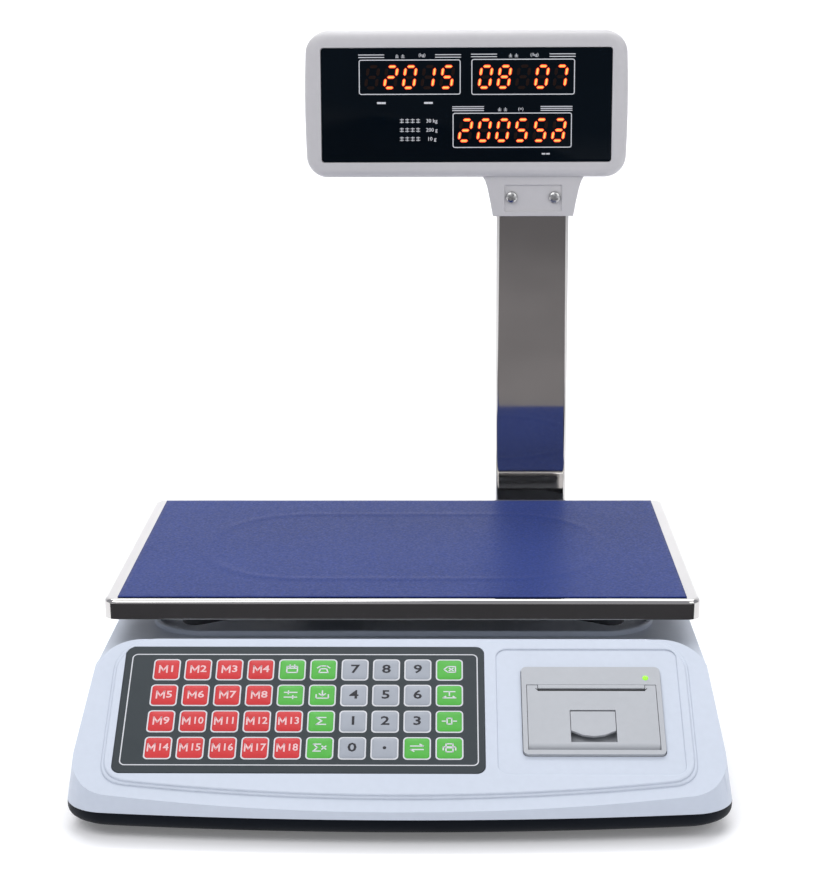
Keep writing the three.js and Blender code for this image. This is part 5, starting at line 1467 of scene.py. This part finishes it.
def sweep_floor():
    """A pale floor that curves up into a backdrop."""
    front, flat, bend, top, half = -4.0, 1.4, 0.9, 4.0, 6.0
    profile = [(front, 0.0), (flat, 0.0)]
    profile += [(flat + bend * rise, bend * draw) for draw, rise in quarter(16, 1)]
    profile.append((flat + bend, top))
    bm = bmesh.new()
    lines = [[bm.verts.new((x, y, z)) for y, z in profile] for x in (-half, half)]
    for i in range(len(profile) - 1):
        bm.faces.new((lines[0][i], lines[1][i], lines[1][i + 1], lines[0][i + 1]))
    floor = put("floor", bm)
    floor.data.shade_smooth()
    f = Finish("pale floor", (0.90, 0.90, 0.91), 0.6, Specular_IOR_Level=0.1,
               Emission_Strength=0.14)
    f.shader.inputs["Emission Color"].default_value = (1, 1, 1, 1)
    f.tint(f.noise(3, 3), (0.88, 0.88, 0.89), 0.0, 0.4)
    floor.data.materials.append(f.material)


def reflection_card(name, corners, rgb):
    """A card that shows only in reflections."""
    bm = bmesh.new()
    bm.faces.new([bm.verts.new(p) for p in corners])
    card = put(name, bm)
    f = Finish(name, rgb, 0.9, Specular_IOR_Level=0.0)
    f.tint(f.noise(2, 3), shade(rgb, 0.75), 0.0, 0.6)
    card.data.materials.append(f.material)
    card.visible_camera = card.visible_diffuse = False
    card.visible_shadow = card.visible_transmission = False


def build_stage():
    """The floor, the world's light, four soft lights, two reflection cards and the camera."""
    sweep_floor()
    world = bpy.data.worlds.new("studio")
    world.use_nodes = True
    sky = world.node_tree.nodes["Background"]
    sky.inputs["Color"].default_value = (0.90, 0.92, 1.0, 1)
    sky.inputs["Strength"].default_value = 0.46
    bpy.context.scene.world = world
    bpy.context.scene.view_settings.view_transform = "Standard"
    soft_light("key", (-0.9, -1.3, 1.9), (0, 0, 0.1), 1.6, 1.2, 19)
    soft_light("fill", (1.3, -1.2, 1.2), (0, 0, 0.15), 1.2, 1.2, 8)
    soft_light("top", (0.1, 0.5, 2.2), (0, 0.1, 0), 2.2, 1.6, 19)
    soft_light("back", (0.0, 1.3, 3.0), (0, 2.2, 0.8), 4.0, 1.0, 50)
    half, above = 0.75, 1 * MM
    for name, near, far, tone in (("card_near", -0.225, -0.49, (0.050, 0.049, 0.052)),
                                  ("card_far", -0.49, -3.0, (0.235, 0.222, 0.222))):
        corners = [(-half, far, above), (half, far, above), (half, near, above),
                   (-half, near, above)]
        reflection_card(name, corners, tone)
    build_camera()


# ---- Operators, panel and registration ----
GROUPS = (("scale_casing", CasingSettings), ("scale_steel", SteelSettings),
          ("scale_keypad", KeypadSettings), ("scale_printer", PrinterSettings),
          ("scale_head", HeadSettings))


class SCALE_OT_cover(bpy.types.Operator):
    """Builds the white cover with its raised panel and well"""
    bl_idname = "scale.cover"
    bl_label = "Casing cover"

    def execute(self, context):
        build_cover(context.scene.scale_casing)
        return {"FINISHED"}


class SCALE_OT_base(bpy.types.Operator):
    """Builds the dark base and finishes its battery cover"""
    bl_idname = "scale.base"
    bl_label = "Base"

    def execute(self, context):
        build_base(context.scene.scale_casing)
        return {"FINISHED"}


class SCALE_OT_feet(bpy.types.Operator):
    """Builds the four levelling feet"""
    bl_idname = "scale.feet"
    bl_label = "Levelling feet"

    def execute(self, context):
        build_feet()
        return {"FINISHED"}


class SCALE_OT_platter(bpy.types.Operator):
    """Builds the polished steel platter"""
    bl_idname = "scale.platter"
    bl_label = "Platter"

    def execute(self, context):
        build_platter(context.scene.scale_steel)
        return {"FINISHED"}


class SCALE_OT_film(bpy.types.Operator):
    """Builds the blue film on the platter"""
    bl_idname = "scale.film"
    bl_label = "Platter film"

    def execute(self, context):
        build_film(context.scene.scale_steel)
        return {"FINISHED"}


class SCALE_OT_keypad(bpy.types.Operator):
    """Builds the overlay, its keys and their labels"""
    bl_idname = "scale.keypad"
    bl_label = "Keypad"

    def execute(self, context):
        build_keypad(context.scene.scale_keypad)
        return {"FINISHED"}


class SCALE_OT_printer(bpy.types.Operator):
    """Finishes the printer and builds its roll of labels"""
    bl_idname = "scale.printer"
    bl_label = "Label printer"

    def execute(self, context):
        build_printer(context.scene.scale_printer)
        return {"FINISHED"}


class SCALE_OT_pole(bpy.types.Operator):
    """Builds the pole and finishes its bracket"""
    bl_idname = "scale.pole"
    bl_label = "Pole"

    def execute(self, context):
        build_pole(context.scene.scale_steel)
        return {"FINISHED"}


class SCALE_OT_head(bpy.types.Operator):
    """Builds both housings of the display head"""
    bl_idname = "scale.head"
    bl_label = "Display head"

    def execute(self, context):
        build_head(context.scene.scale_head)
        return {"FINISHED"}


class SCALE_OT_display(bpy.types.Operator):
    """Builds both windows with their figures"""
    bl_idname = "scale.display"
    bl_label = "Displays"

    def execute(self, context):
        build_display(context.scene.scale_head)
        return {"FINISHED"}


class SCALE_OT_neck_screws(bpy.types.Operator):
    """Builds the two screws in the neck"""
    bl_idname = "scale.neck_screws"
    bl_label = "Neck screws"

    def execute(self, context):
        build_neck_screws()
        return {"FINISHED"}


class SCALE_OT_fittings(bpy.types.Operator):
    """Finishes the inlet, the switch and the level"""
    bl_idname = "scale.fittings"
    bl_label = "Fittings"

    def execute(self, context):
        build_fittings()
        return {"FINISHED"}


class SCALE_OT_works(bpy.types.Operator):
    """Finishes the pieces inside the casing"""
    bl_idname = "scale.works"
    bl_label = "Inner works"

    def execute(self, context):
        build_works()
        return {"FINISHED"}


class SCALE_OT_stage(bpy.types.Operator):
    """Builds the floor, the lights and the camera"""
    bl_idname = "scale.stage"
    bl_label = "Stage"

    def execute(self, context):
        build_stage()
        return {"FINISHED"}


# In the order in which they run.
BUILDERS = (
    SCALE_OT_cover,
    SCALE_OT_base,
    SCALE_OT_feet,
    SCALE_OT_platter,
    SCALE_OT_film,
    SCALE_OT_keypad,
    SCALE_OT_printer,
    SCALE_OT_pole,
    SCALE_OT_head,
    SCALE_OT_display,
    SCALE_OT_neck_screws,
    SCALE_OT_fittings,
    SCALE_OT_works,
    SCALE_OT_stage,
)


class SCALE_PT_pieces(bpy.types.Panel):
    """Lists the scale's sizes and the operators that build it"""
    bl_label = "Label printing scale"
    bl_idname = "SCALE_PT_pieces"
    bl_space_type = "VIEW_3D"
    bl_region_type = "UI"
    bl_category = "Scale"

    def draw(self, context):
        for attribute, group in GROUPS:
            box = self.layout.box()
            box.label(text=group.__doc__)
            for prop in group.__annotations__:
                box.prop(getattr(context.scene, attribute), prop)
        for operator in BUILDERS:
            self.layout.operator(operator.bl_idname)


def register():
    for attribute, group in GROUPS:
        bpy.utils.register_class(group)
        setattr(bpy.types.Scene, attribute, PointerProperty(type=group))
    for operator in BUILDERS:
        bpy.utils.register_class(operator)
    bpy.utils.register_class(SCALE_PT_pieces)


def unregister():
    bpy.utils.unregister_class(SCALE_PT_pieces)
    for operator in reversed(BUILDERS):
        bpy.utils.unregister_class(operator)
    for attribute, group in reversed(GROUPS):
        delattr(bpy.types.Scene, attribute)
        bpy.utils.unregister_class(group)


def main():
    register()
    for operator in BUILDERS:
        family, name = operator.bl_idname.split(".")
        getattr(getattr(bpy.ops, family), name)()


if __name__ == "__main__":
    main()
